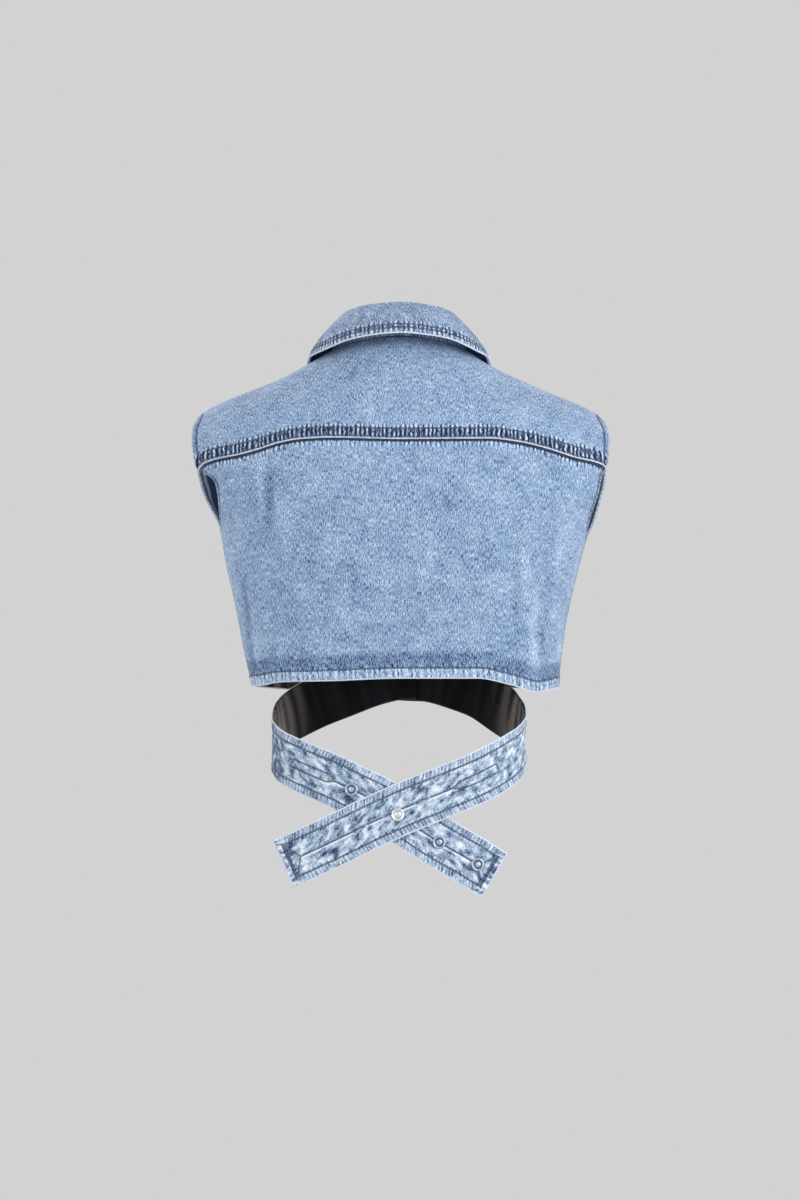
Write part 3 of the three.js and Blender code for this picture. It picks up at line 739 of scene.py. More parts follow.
def apply_creases(piece, creases, places):
    """Adds fine creases, given in the two distances of places.

    Their ridges are painted paler as highlight, and their troughs darker as shade.
    """
    for r, c in piece.cells():
        height = line_folds(creases, *places[r][c])
        if height:
            piece.lift[r][c] += height
            piece.finish["tone_and_shade"][r][c] += CREASE_PAINTED_LIGHT * height


# Uneven waves all over a piece: their size across and down the cloth, their depth, how much they tint it and
# their seed. Sizes in mm.
RIPPLES = {
    "back": [(60, 26, 0.35, 0.12, 4), (16, 44, 0.16, 0.1, 9)],
    "yoke": [(50, 30, 0.35, 0.1, 14)],
    "leaf": [(9, 30, 0.3, 0.25, 18), (30, 20, 0.4, 0.1, 19)],
    "strap": [(5, 7, 0.1, 0.4, 27), (24, 30, 0.5, 0.5, 29)],
}


def apply_ripples(piece, name, hand=0):
    """Gives the cloth its uneven waves."""
    for size_u, size_v, depth, tint, seed in RIPPLES[name]:
        for r, c in piece.cells():
            wave = noise.noise(Vector((piece.u[r][c] / size_u, piece.v[r][c] / size_v, seed + hand)))
            piece.lift[r][c] += depth * wave
            piece.finish["tone_and_shade"][r][c] += tint * wave


def mark_line(piece, r, c, far):
    """Marks a point's way to a further line of stitches, if that is the nearest, and sinks the line."""
    if abs(far) < abs(piece.finish["row_b"][r][c]):
        piece.finish["row_b"][r][c] = far
    piece.lift[r][c] -= GROOVE_DEPTH * bump(far, 0, 0.8)


def finish_node(obj, node):
    """Lets a piece ride on the vest and stand for a CAD node."""
    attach(obj, "root")
    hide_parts(node)


def link_mesh(mesh, name, materials):
    """Makes an object of a finished bmesh."""
    data = bpy.data.meshes.new(name)
    mesh.to_mesh(data)
    mesh.free()
    for material in materials:
        data.materials.append(material)
    obj = bpy.data.objects.new(name, data)
    bpy.context.scene.collection.objects.link(obj)
    return obj


def make_cloth(name, piece, thickness, materials, tuck=False, rim=0):
    """Makes the piece's wall: its outer face with UVs in metres, and an inner face behind it."""
    surface = piece.surface()
    u, v, finish = piece.u, piece.v, piece.finish
    if tuck:
        surface = tuck_rows(surface, piece.normals[0]) + surface
        added = len(surface) - piece.height
        u = [u[0]] * added + u
        v = [v[0]] * added + v
        finish = {key: [[UNMARKED[key]] * piece.width] * added + grid for key, grid in finish.items()}
    height = len(surface)
    width = piece.width

    def cell(vertex):
        return height - 1 - vertex.index // width, vertex.index % width

    mesh = bmesh.new()
    cloth = mesh.loops.layers.uv.new("cloth")
    bmesh.ops.create_grid(mesh, x_segments=width - 1, y_segments=height - 1, size=0.5, calc_uvs=True)
    mesh.verts.ensure_lookup_table()
    layers = {key: mesh.verts.layers.float.new(key) for key in finish}
    for vertex in mesh.verts:
        r, c = cell(vertex)
        vertex.co = surface[r][c] * MM
        for key, layer in layers.items():
            vertex[layer] = finish[key][r][c]
    for face in mesh.faces:
        face.smooth = True
        for loop in face.loops:
            r, c = cell(loop.vert)
            loop[cloth].uv = (u[r][c] * MM, v[r][c] * MM)
    for edge in mesh.edges:
        edge.smooth = not edge.is_boundary
    obj = link_mesh(mesh, name, materials)
    wall = obj.modifiers.new("wall", "SOLIDIFY")
    wall.thickness = thickness * MM
    wall.offset = -1
    wall.material_offset = 1
    wall.material_offset_rim = rim
    return obj


# Cloth that runs on under the piece above it: how far beyond its first row and how deep, in mm.
TUCK_STEPS = ((5, 3.4), (0.4, 3), (0.2, 1.4))


def tuck_rows(surface, normals):
    """Cloth that runs on from the first row, behind the piece above it."""
    return [
        [
            p + (p - q).normalized() * reach - n * depth
            for p, q, n in zip(surface[0], surface[1], normals)
        ]
        for reach, depth in TUCK_STEPS
    ]


# The back, the yoke and the fronts

# The gap between the back and the yoke's seam: in the middle, at the sides and in the corners. In mm.
YOKE_GAPS = (0.5, 0.95, 1.5)

# Where the cloth is darker, and how much: the painted shadow of the seam under the yoke, a strip above the
# hem, and painted shade in the hem's corners where the cloth turns away. Each begins or ends softly over
# the two distances given, in mm from the nearest edge.
SEAM_SHADOW = dict(end=(1.4, 2.6), dark=3.5)
HEM_STRIP = dict(begin=(9.5, 12.5), end=(23, 32), dark=0.75)
HEM_CORNER_SHADE = dict(side_end=(7, 10), up_end=(12, 17), dark=1.3)

# The heights over which the armhole's finish turns into the side seam's: on the back, and how far below the
# underarm on the fronts. In mm.
SEAM_BLEND_BACK = (-205, -190)
SEAM_BLEND_FRONT = 14


def back_ends(share):
    """The heights of the back's upper and lower edge."""
    far = abs(share)
    middle, side, corner = YOKE_GAPS
    gap = mix(mix(middle, side, smooth(0.3, 0.55, far)), corner, smooth(0.8, 0.95, far))
    hem_x = girth(1, share, BACK_HEM_END_Z) * math.sin(share * math.pi / 2)
    return yoke_seam_z(share) - gap, BACK_HEM.at(hem_x, "z")


def back_piece():
    """The back below the yoke."""
    shares = [1 - 2 * part for part in grid_shares("back_across")]
    ends = [back_ends(share) for share in shares]
    rows = [
        [body_point(1, share, mix(top, hem, down)) for share, (top, hem) in zip(shares, ends)]
        for down in grid_shares("back_down")
    ]
    piece = Piece(rows)
    piece.centre_grain(min(range(piece.width), key=lambda c: abs(shares[c])))
    apply_creases(piece, BACK_CREASES, [[(p.x, p.z) for p in row] for row in rows])
    apply_ripples(piece, "back")
    apply_band(piece, "hem", piece.bottom, piece.u, 21)
    above = [[smooth(*SEAM_BLEND_BACK, p.z) for p in row] for row in rows]
    below = [[1 - share for share in line] for line in above]
    for off, seed in ((piece.start, 31), (piece.end, 37)):
        apply_band(piece, "armhole", off, piece.v, seed, above)
        apply_band(piece, "seam_edge", off, piece.v, seed + 10, below)
    # Painted shadow: a dark line just under the yoke's edge, where no stitches are sewn.
    apply_band(piece, "under_yoke", piece.top, piece.u, 51)
    shade_back(piece)
    return piece


def shade_back(piece):
    """The seam's painted shadow, a darker strip above the hem, and painted shade in the hem's corners."""
    for r, c in piece.cells():
        low = piece.bottom[r][c]
        side = min(piece.start[r][c], piece.end[r][c])
        strip = smooth(*HEM_STRIP["begin"], low) * (1 - smooth(*HEM_STRIP["end"], low))
        # Painted shade in the hem's corners, where the cloth turns away from the light.
        corner = (1 - smooth(*HEM_CORNER_SHADE["side_end"], side)) * (1 - smooth(*HEM_CORNER_SHADE["up_end"], low))
        shadow = 1 - smooth(*SEAM_SHADOW["end"], piece.top[r][c])
        dark = HEM_STRIP["dark"] * strip + HEM_CORNER_SHADE["dark"] * corner + SEAM_SHADOW["dark"] * shadow
        piece.finish["tone_and_shade"][r][c] -= dark


# The part of the yoke's columns that each armhole takes, and where the back corners meet the neckline.
YOKE_ARM_PART = 0.22
YOKE_NECK_CORNER = 0.52


def yoke_rim(column):
    """Share and turn of the yoke's outer edge: an armhole, the back seam and the other armhole."""
    if column < YOKE_ARM_PART:
        return 1, mix(-FRONT_SEAM_TURN, math.pi / 2, column / YOKE_ARM_PART)
    if column > 1 - YOKE_ARM_PART:
        return -1, mix(-FRONT_SEAM_TURN, math.pi / 2, (1 - column) / YOKE_ARM_PART)
    return 1 - 2 * (column - YOKE_ARM_PART) / (1 - 2 * YOKE_ARM_PART), math.pi / 2


def yoke_start(column):
    """The place on the neckline that belongs to a column of the yoke."""
    far = abs(column - 0.5)
    seam_half = 0.5 - YOKE_ARM_PART
    if far <= seam_half:
        place = YOKE_NECK_CORNER * far / seam_half
    else:
        place = mix(YOKE_NECK_CORNER, 1, (far - seam_half) / YOKE_ARM_PART)
    return yoke_neck(place if column < 0.5 else -place)


def yoke_columns():
    """Columns of the yoke, with one exactly at each of its back corners."""
    arm = [YOKE_ARM_PART * part for part in grid_shares("yoke_arm")]
    seam = [mix(YOKE_ARM_PART, 1 - YOKE_ARM_PART, part) for part in grid_shares("yoke_seam")]
    return arm[:-1] + seam + [1 - column for column in reversed(arm[:-1])]


# How a turn over the shoulder becomes a length of cloth. Near the seam it is the rounding's height times the
# turn and a little more. The way down the grain blends a length for the turn with one for the height.
SEAM_STRETCH = 1.02
GRAIN_PER_TURN = 120
GRAIN_PER_DROP = 1.2
GRAIN_BY_DROP = 0.65


def yoke_piece():
    """One piece from the back seam over both shoulders to a seam in front of them."""
    ends = [(yoke_start(column), yoke_rim(column)) for column in yoke_columns()]
    spots = [
        [(mix(a[0], b[0], out), mix(a[1], b[1], out)) for a, b in ends]
        for out in grid_shares("yoke_down")
    ]
    rows = [[shoulder_point(share, turn) for share, turn in line] for line in spots]
    piece = Piece(rows)
    piece.seam_off, piece.arm_off = piece.blank(), piece.blank()
    for r, c in piece.cells():
        share, turn = spots[r][c]
        point = rows[r][c]
        hand = math.copysign(1, share)
        piece.seam_off[r][c] = (math.pi / 2 - turn) * rounding_height(1, share) * SEAM_STRETCH
        piece.arm_off[r][c] = across(1, hand, point.z) * hand - abs(point.x)
        drop = math.copysign(shoulder_z(share) - point.z, turn)
        piece.u[r][c] = point.x
        piece.v[r][c] = -mix(GRAIN_PER_TURN * turn, GRAIN_PER_DROP * drop, GRAIN_BY_DROP)
    apply_ripples(piece, "yoke")
    apply_band(piece, "yoke_seam", piece.seam_off, piece.u, 51)
    apply_band(piece, "armhole", piece.arm_off, piece.v, 57)
    shade_under_collar(piece)
    return piece


# The painted shadow under the collar's leaf begins this far below the leaf's edge, and is full from there on.
UNDER_COLLAR_START = -4
UNDER_COLLAR_FULL = -2.2
UNDER_COLLAR_SHADOW = 7
UNDER_COLLAR_STEPS = 60
UNDER_COLLAR_HALF = 0.45


def shade_under_collar(piece):
    """Paints the shadow that the collar's leaf casts on the yoke below its edge."""
    places = [UNDER_COLLAR_HALF * (2 * i / UNDER_COLLAR_STEPS - 1) for i in range(UNDER_COLLAR_STEPS + 1)]
    edge = [collar_line(COLLAR_EDGE, place) for place in places]
    for r, c in piece.cells():
        point = piece.rows[r][c]
        if point.y > 0 and abs(point.x) < edge[-1].x:
            over = min(edge, key=lambda spot: abs(spot.x - point.x))
            covered = smooth(UNDER_COLLAR_START, UNDER_COLLAR_FULL, point.z - over.z)
            piece.finish["tone_and_shade"][r][c] -= UNDER_COLLAR_SHADOW * covered


class Line:
    """A smooth line through stations, walked by its length."""

    def __init__(self, points, fine=40):
        points = [Vector(p) for p in points]
        points = [2 * points[0] - points[1], *points, 2 * points[-1] - points[-2]]
        self.points = [points[1]]
        for i in range(1, len(points) - 2):
            for step in range(1, fine + 1):
                self.points.append(self.between(points[i - 1:i + 3], step / fine))
        self.far = [0.0]
        for p, q in zip(self.points, self.points[1:]):
            self.far.append(self.far[-1] + (q - p).length)
        self.length = self.far[-1]

    @staticmethod
    def between(four, s):
        """A point between the middle two of four, spaced by the square roots of their distances."""
        before, a, b, after = four
        d0, d1, d2 = (math.sqrt((q - p).length) for p, q in zip(four, four[1:]))
        start = ((a - before) / d0 - (b - before) / (d0 + d1) + (b - a) / d1) * d1
        end = ((b - a) / d1 - (after - a) / (d1 + d2) + (after - b) / d2) * d1
        return a + start * s + (3 * (b - a) - 2 * start - end) * s**2 + (2 * (a - b) + start + end) * s**3

    def at(self, far):
        """The point and direction at a length."""
        i = min(len(self.far) - 2, max(0, bisect_right(self.far, far) - 1))
        step = self.points[i + 1] - self.points[i]
        part = (far - self.far[i]) / (self.far[i + 1] - self.far[i])
        return self.points[i] + step * part, step.normalized()


STRAP_LINES = {hand: Line(points) for hand, points in STRAP_STATIONS.items()}


def strap_point(line, far, offset):
    """A point of a strap's outer face, at a distance above its middle line."""
    middle, tangent = line.at(far)
    level = Vector((tangent.y, -tangent.x, 0)).normalized()
    up = level.cross(tangent).normalized()
    return middle + up * (offset if up.z > 0 else -offset)


# How many steps the waistband's top edge is cut into.
WAIST_STEPS = 160


def waist_edge(hand):
    """The waistband's top edge on a front, from the middle to beyond the notch."""
    line = STRAP_LINES[hand]
    step = line.length / 2 / WAIST_STEPS
    return [strap_point(line, step * i, STRAP_WIDTH / 2) for i in range(WAIST_STEPS + 1)]


def waist_edge_at(points, x):
    """The top edge at a distance from the middle."""
    first = points[0].x
    i = 0
    while i < len(points) - 2 and abs(points[i + 1].x - first) < abs(x - first):
        i += 1
    share = (x - points[i].x) / (points[i + 1].x - points[i].x)
    return points[i].lerp(points[i + 1], min(1, max(0, share)))


def front_top(hand, part):
    """Share and height of a front's upper edge: the neckline and then the yoke's seam."""
    if part <= NECK_COLUMNS:
        share, z = front_neck(hand, part / NECK_COLUMNS)
        return share, z - SEAM_GAP * part / NECK_COLUMNS
    out = (part - NECK_COLUMNS) / (1 - NECK_COLUMNS)
    start = yoke_neck(hand)
    share = mix(start[0], hand, out)
    turn = mix(start[1], -FRONT_SEAM_TURN, out)
    return share, shoulder_z(share) - FRONT_ROUND * (1 - math.cos(turn)) - SEAM_GAP


def front_bottom(hand, part, waist):
    """Share and height of a front's lower edge, and how far the waistband draws it in."""
    x = mix(-hand * FRONT_OVERLAP, hand * NOTCH_X[hand], min(part / WAIST_COLUMNS, 1))
    band = waist_edge_at(waist, x)
    z = band.z + SEAM_GAP
    share = share_of(-1, x, z)
    draw = band.y - body_point(-1, share, z).y
    out = max(0, (part - WAIST_COLUMNS) / (1 - WAIST_COLUMNS))
    return mix(share, hand, out), mix(z, SIDE_HEM[hand], out), draw * (1 - smooth(0, 1, out))


# The rows of the fronts crowd towards the top by this power, and the finish of their edges fades out between
# these distances from the middle, where the placket lies.
ROW_CROWDING = 1.35
QUIET_FROM = 18
QUIET_TO = 34


def front_piece(hand):
    """One front: the right one lies over the left one."""
    waist = waist_edge(hand)
    parts = grid_shares("front_across")
    tops = [front_top(hand, part) for part in parts]
    bottoms = [front_bottom(hand, part, waist) for part in parts]
    rows = []
    for level in grid_shares("front_down"):
        down = level**ROW_CROWDING
        row = []
        for top, bottom in zip(tops, bottoms):
            point = body_point(-1, mix(top[0], bottom[0], down), mix(top[1], bottom[1], down))
            lapped = 1 - smooth(FRONT_OVERLAP, FRONT_OVERLAP + UNDERLAP_FADE, point.x)
            tucked = UNDERLAP_DEPTH * lapped if hand > 0 else 0
            point.y += mix(tucked, bottom[2], smooth(DRAW_START, 1, down))
            row.append(point)
        rows.append(row if hand > 0 else row[::-1])
    piece = Piece(rows)
    piece.centre_grain(0 if hand > 0 else -1)
    piece.side = piece.end if hand > 0 else piece.start
    low = UNDERARM[hand] - SEAM_BLEND_FRONT
    above = [[smooth(low, UNDERARM[hand], p.z) for p in row] for row in rows]
    below = [[1 - share for share in line] for line in above]
    quiet = [[smooth(QUIET_FROM, QUIET_TO, abs(p.x)) for p in row] for row in rows]
    apply_band(piece, "armhole", piece.side, piece.v, 61 + hand, above)
    apply_band(piece, "seam_edge", piece.side, piece.v, 67 + hand, below)
    apply_band(piece, "armhole", piece.top, piece.u, 71 + hand, quiet)
    apply_band(piece, "armhole", piece.bottom, piece.u, 77 + hand, quiet)
    apply_creases(piece, FRONT_CREASES, [[(abs(p.x), p.z) for p in row] for row in rows])
    return piece


def right_front_frame(x, z):
    """A point on the right front with its outward direction."""
    def at(px, pz):
        return body_point(-1, share_of(-1, px, pz), pz)

    along = at(x + 1, z) - at(x - 1, z)
    down = at(x, z - 1) - at(x, z + 1)
    return at(x, z), down.cross(along).normalized()


def placket_piece():
    """The button band on the right front, from just below the neckline to just above the waistband."""
    top = NECK_FRONT_Z - 2
    bottom = waist_edge_at(waist_edge(-1), 0).z + 1
    rows = []
    for down in grid_shares("placket_down"):
        row = []
        for part in grid_shares("placket_across"):
            x = PLACKET_WIDTH * (part - 0.5)
            point, normal = right_front_frame(x, mix(top, bottom, down))
            row.append(point + normal * (PLACKET_GAP + PLACKET_CLOTH))
        rows.append(row)
    piece = Piece(rows)
    apply_band(piece, "placket", piece.start, piece.v, 81)
    apply_band(piece, "placket", piece.end, piece.v, 83)
    return piece


# The collar


def inward(point):
    """The level direction from a point of the collar towards the middle of the neck."""
    return Vector((-point.x, COLLAR_CENTRE_Y - point.y, 0)).normalized()


def collar_line(table, t):
    """A point of one of the collar's lines."""
    return Vector((table.at(t, "x"), table.at(t, "y"), table.at(t, "z")))


# The stand's foot dips behind the neckline at the back and stands on it in front, and its top stays below the
# collar's fold: heights in mm at the back and in front.
STAND_FOOT = (-1.2, 0.2)
STAND_BELOW_FOLD = (1.6, 4.2)
STAND_SETBACK = 2.5


def stand_piece():
    """The band round the neck."""
    rows = []
    for up in grid_shares("stand_up"):
        row = []
        for part in grid_shares("stand_along"):
            t = 1 - 2 * part
            base = neck_point(t)
            base = base + inward(base) * STAND_SETBACK
            base.z += mix(*STAND_FOOT, smooth(0.5, 0.75, abs(t)))
            fold = collar_line(COLLAR_FOLD, t)
            fold = fold - inward(fold) * (COLLAR_CLOTH / 2)
            fold.z -= COLLAR_CLOTH + mix(*STAND_BELOW_FOLD, smooth(0.6, 1, abs(t)))
            row.append(fold.lerp(base, up))
        rows.append(row)
    piece = Piece(rows)
    apply_band(piece, "placket", piece.bottom, piece.u, 87)
    return piece


# The rolled fold of the leaf: how many rows round it and how far it falls inside and outside. Painted shade
# darkens the cloth round the place where the leaf turns to the front. Sizes in mm.
ROLL_STEPS = 6
ROLL_FALL_INSIDE = 1.4
ROLL_FALL_OUTSIDE = 1.6
LEAF_TURN = 0.44
LEAF_TURN_WIDTH = 0.1
LEAF_TURN_SHADE = 0.9


def rolled_fold(t, part):
    """A point of the leaf's rolled fold, from -1 inside to 1 outside."""
    fold = collar_line(COLLAR_FOLD, t)
    fold = fold - inward(fold) * (COLLAR_ROLL * part)
    fold.z -= (ROLL_FALL_INSIDE if part < 0 else ROLL_FALL_OUTSIDE) * part**2
    return fold


def leaf_piece():
    """The turned-down leaf, which rolls over the stand and falls to its outer edge with a slight crown."""
    shares = [1 - 2 * part for part in grid_shares("leaf_along")]
    rows = [[rolled_fold(t, step / ROLL_STEPS) for t in shares] for step in range(-ROLL_STEPS, ROLL_STEPS)]
    for down in grid_shares("leaf_down"):
        row = []
        for t in shares:
            start = rolled_fold(t, 1)
            crown = COLLAR_CROWN * math.sin(math.pi * down)
            point = start.lerp(collar_line(COLLAR_EDGE, t), down) - inward(start) * crown
            point.z += crown / 2
            row.append(point)
        rows.append(row)
    piece = Piece(rows)
    apply_ripples(piece, "leaf")
    apply_band(piece, "collar_edge", piece.bottom, piece.u, 91)
    apply_band(piece, "collar_edge", piece.start, piece.v, 93)
    apply_band(piece, "collar_edge", piece.end, piece.v, 97)
    # Painted shade where the leaf turns away to the front.
    for r, c in piece.cells():
        piece.finish["tone_and_shade"][r][c] -= LEAF_TURN_SHADE * bump(abs(shares[c]), LEAF_TURN, LEAF_TURN_WIDTH)
    return piece


# The waistband straps

# Where a strap's narrow stitched oblong lies, as distances from its free end, its pointed tip and its half
# width, and how far beyond it the lines are still marked. The end's stitches cross in a bow tie with its tip
# further in.
OBLONG = dict(near=196, far=250, half=4.2, tip=8)
LINE_REACH = 4
END_ROW = 8.6
BOW_TIP = 20

# The left strap's side is darkened with painted shade, and a painted highlight runs just below the centre
# row. The straps' edges are worn pale at the sides and behind, and not in front. Places in mm.
SIDE_SHADE = 1.1
SIDE_FROM = 120
SIDE_TO = 134
ROW_HIGHLIGHT = 2.4
HIGHLIGHT_BELOW = 1.8
WORN_FROM = -20
WORN_TO = 20


def strap_piece(hand):
    """A waistband half with its strap. Its rows run from the upper to the lower edge."""
    line = STRAP_LINES[hand]
    alongs = [line.length * part for part in grid_shares("strap_along", line.length)]
    offsets = [STRAP_WIDTH * (0.5 - part) for part in grid_shares("strap_across")]
    rows = []
    for offset in offsets:
        row = [strap_point(line, far, offset) for far in alongs]
        rows.append(row if hand > 0 else row[::-1])
    piece = Piece(rows)
    piece.hand = hand
    piece.free = piece.end if hand > 0 else piece.start
    piece.offset = [[offset] * piece.width for offset in offsets]
    apply_ripples(piece, "strap", hand)
    apply_slants(piece, 35 + hand)
    apply_band(piece, "strap_edge", piece.top, piece.u, 101 + hand)
    apply_band(piece, "strap_edge", piece.bottom, piece.u, 107 + hand)
    apply_band(piece, "strap_end", piece.free, piece.v, 113 + hand)
    lines = strap_lines()
    for r, c in piece.cells():
        piece.finish["worn"][r][c] *= smooth(WORN_FROM, WORN_TO, rows[r][c].y)
        spot = Vector((piece.free[r][c], piece.offset[r][c]))
        # Painted shade on the left strap's side, where it turns away.
        if hand > 0:
            piece.finish["tone_and_shade"][r][c] -= SIDE_SHADE * smooth(SIDE_FROM, SIDE_TO, rows[r][c].x)
        # A painted highlight just below the centre row's groove.
        if BOW_TIP < spot.x < OBLONG["near"]:
            piece.finish["tone_and_shade"][r][c] += ROW_HIGHLIGHT * bump(spot.y, -HIGHLIGHT_BELOW, 0.8)
        if spot.x < OBLONG["far"] + LINE_REACH:
            mark_line(piece, r, c, min(way_to(spot, *ends) for ends in lines))
    return piece


def strap_lines():
    """A strap's inner lines of stitches, from place to place.

    A place is the way from the free end and the way above the middle line."""
    row = STRAP_WIDTH / 2 - BANDS["strap_edge"]["rows"][0]
    near, far, wide = OBLONG["near"], OBLONG["far"], OBLONG["half"]
    inner = near + OBLONG["tip"]
    corners = [
        [(END_ROW, row), (BOW_TIP, 0), (END_ROW, -row), (END_ROW, row)],
        [(BOW_TIP, 0), (near, 0)],
        [(near, 0), (inner, wide), (far, wide), (far, -wide), (inner, -wide), (near, 0)],
    ]
    return [(Vector(a), Vector(b)) for line in corners for a, b in zip(line, line[1:])]


def way_to(spot, start, end):
    """The distance from a place to a straight line between two others."""
    run = end - start
    part = min(1, max(0, (spot - start).dot(run) / run.length_squared))
    return (spot - start - run * part).length


# Slanting blotches across a strap: how steeply they lean, the size of the broad and the fine ones, over which
# distances from the middle they begin and end, how high and how strongly tinted they are, and how much paler
# the cloth is there. Sizes in mm.
SLANT_LEAN = 2
SLANT_RUN = 0.45
SLANT_BROAD = (9, 9)
SLANT_FINE = (3.4, 5)
SLANT_FINE_SHARE = 0.6
SLANT_BEGIN = (0.5, 2.5)
SLANT_END = (17, 19)
SLANT_HEIGHT = 0.5
SLANT_TINT = 1.9
SLANT_PALE = 0.15


def apply_slants(piece, seed):
    """Slanting blotches of rubbed and of dark dye across a strap, with their puckers."""
    for r, c in piece.cells():
        far, offset = piece.free[r][c], piece.offset[r][c]
        slanted = far - SLANT_LEAN * offset
        along = offset + SLANT_RUN * far
        side = seed if offset > 0 else seed + 7
        broad = noise.noise(Vector((slanted / SLANT_BROAD[0], along / SLANT_BROAD[1], side)))
        fine = noise.noise(Vector((slanted / SLANT_FINE[0], along / SLANT_FINE[1], side + 3)))
        inside = smooth(*SLANT_BEGIN, abs(offset)) * (1 - smooth(*SLANT_END, abs(offset)))
        wave = (broad + SLANT_FINE_SHARE * fine) * inside
        piece.lift[r][c] += SLANT_HEIGHT * wave
        piece.finish["tone_and_shade"][r][c] += SLANT_TINT * wave + SLANT_PALE * inside


# Sewing thread

# The length, width and height of a stitch, in a row and round a buttonhole, how far a row's lie apart, how
# high a stitch sits as a share of its own height, and how closely a strap's rows are followed.
ROW_STITCH = (2.6, 0.62, 0.5)
HOLE_STITCH = (2, 0.9, 0.7)
STITCH_PITCH = 3.3
STITCH_SEAT = 0.2
PATH_STEP = 1.6


def crossing(offs, points, normals, value):
    """Where a line of points crosses a value of its distances, or None."""
    for i in range(len(offs) - 1):
        low, high = offs[i], offs[i + 1]
        if low != high and (low - value) * (high - value) <= 0:
            part = (value - low) / (high - low)
            return points[i].lerp(points[i + 1], part), normals[i].lerp(normals[i + 1], part).normalized()
    return None


def sew_edge(mesh, piece, band, off, down=False, first=0.0, last=1.0):
    """Sews the rows of a stitched edge: across the columns of a piece, or down its rows."""
    grids = (off, piece.surface(), piece.normals)
    lines = list(zip(*grids)) if down else list(zip(*(zip(*grid) for grid in grids)))
    end = len(lines) - 1
    for value in BANDS[band]["rows"]:
        spots = [crossing(*line, value) for line in lines[round(first * end):round(last * end) + 1]]
        run_stitches(mesh, [spot for spot in spots if spot])


def bead_shape():
    """The points and faces of a small rounded bead, from which every stitch is stamped."""
    mesh = bmesh.new()
    bmesh.ops.create_uvsphere(mesh, u_segments=6, v_segments=4, radius=0.5)
    points = [vertex.co.copy() for vertex in mesh.verts]
    faces = [[vertex.index for vertex in face.verts] for face in mesh.faces]
    mesh.free()
    return points, faces


BEAD = bead_shape()


def stitch(mesh, point, direction, normal, length, width, height):
    """One stitch: a small rounded bead of thread that lies on the cloth."""
    side = normal.cross(direction).normalized()
    up = direction.cross(side).normalized()
    turn = Matrix((direction * length, side * width, up * height)).transposed()
    seat = point + up * height * STITCH_SEAT
    points, faces = BEAD
    stamped = [mesh.verts.new((seat + turn @ p) * MM) for p in points]
    for face in faces:
        mesh.faces.new([stamped[i] for i in face])


def run_stitches(mesh, path):
    """A row of stitches along a path of points and normals."""
    next_place = STITCH_PITCH / 2
    walked = 0.0
    for (p, n), (q, m) in zip(path, path[1:]):
        step = (q - p).length
        while step > 0 and walked + step >= next_place:
            part = (next_place - walked) / step
            stitch(mesh, p.lerp(q, part), (q - p).normalized(), n.lerp(m, part), *ROW_STITCH)
            next_place += STITCH_PITCH
        walked += step


def strap_spot(piece, far, offset):
    """The point and normal of a strap's cloth, at a distance from its free end and above its middle."""
    middle = piece.height // 2
    frees = piece.free[middle]
    columns = range(piece.width - 1)
    c = next(c for c in columns if min(frees[c], frees[c + 1]) <= far <= max(frees[c], frees[c + 1]))
    part = (far - frees[c]) / (frees[c + 1] - frees[c])
    offsets = [line[0] for line in piece.offset]
    r = next(r for r in range(piece.height - 1) if offsets[r] >= offset >= offsets[r + 1])
    down = (offset - offsets[r]) / (offsets[r + 1] - offsets[r])
    upper = piece.skin[r][c].lerp(piece.skin[r][c + 1], part)
    lower = piece.skin[r + 1][c].lerp(piece.skin[r + 1][c + 1], part)
    return upper.lerp(lower, down), piece.normals[r][c]


def strap_path(piece, start, end):
    """A straight path on a strap between two places, from its free end and above its middle."""
    count = max(1, round((end - start).length / PATH_STEP))
    return [strap_spot(piece, *start.lerp(end, i / count)) for i in range(count + 1)]


# The buttonholes' distances from the free end, how many stitches ring one, and half its length and width.
BUTTONHOLES = (88, 124, 160)
HOLE_STITCHES = 34
HOLE_HALF_LENGTH = 8.2
HOLE_HALF_WIDTH = 2.2


def buttonhole(mesh, piece, far):
    """A sewn buttonhole: short stitches set close together round a slit along the strap."""
    for i in range(HOLE_STITCHES):
        angle = math.tau * i / HOLE_STITCHES
        out = Vector((math.cos(angle), math.sin(angle)))
        spot = Vector((far + HOLE_HALF_LENGTH * out.x, HOLE_HALF_WIDTH * out.y))
        point, normal = strap_spot(piece, *spot)
        beyond, _ = strap_spot(piece, *(spot + 0.6 * out))
        stitch(mesh, point, (beyond - point).normalized(), normal, *HOLE_STITCH)


def sew_back(mesh, piece):
    """The hem's row and the rows beside the armholes and the side seams."""
    sew_edge(mesh, piece, "hem", piece.bottom)
    for off in (piece.start, piece.end):
        sew_edge(mesh, piece, "armhole", off, down=True)


def sew_yoke(mesh, piece):
    """Two rows above the back seam, and one beside each armhole."""
    columns = yoke_columns()
    corner = columns.index(YOKE_ARM_PART) / (len(columns) - 1)
    sew_edge(mesh, piece, "yoke_seam", piece.seam_off, first=corner, last=1 - corner)
    sew_edge(mesh, piece, "armhole", piece.arm_off, last=corner)
    sew_edge(mesh, piece, "armhole", piece.arm_off, first=1 - corner)


def sew_front(mesh, piece):
    """The rows beside the armhole and side, along the top and above the waistband."""
    sew_edge(mesh, piece, "armhole", piece.side, down=True)
    sew_edge(mesh, piece, "armhole", piece.top)
    sew_edge(mesh, piece, "armhole", piece.bottom)


def sew_placket(mesh, piece):
    """A row inside each long edge."""
    sew_edge(mesh, piece, "placket", piece.start, down=True)
    sew_edge(mesh, piece, "placket", piece.end, down=True)


def sew_stand(mesh, piece):
    """A row above the foot of the band round the neck."""
    sew_edge(mesh, piece, "placket", piece.bottom)


def sew_leaf(mesh, piece):
    """Two rows inside the leaf's three free edges."""
    sew_edge(mesh, piece, "collar_edge", piece.bottom)
    sew_edge(mesh, piece, "collar_edge", piece.start, down=True, first=0.3)
    sew_edge(mesh, piece, "collar_edge", piece.end, down=True, first=0.3)


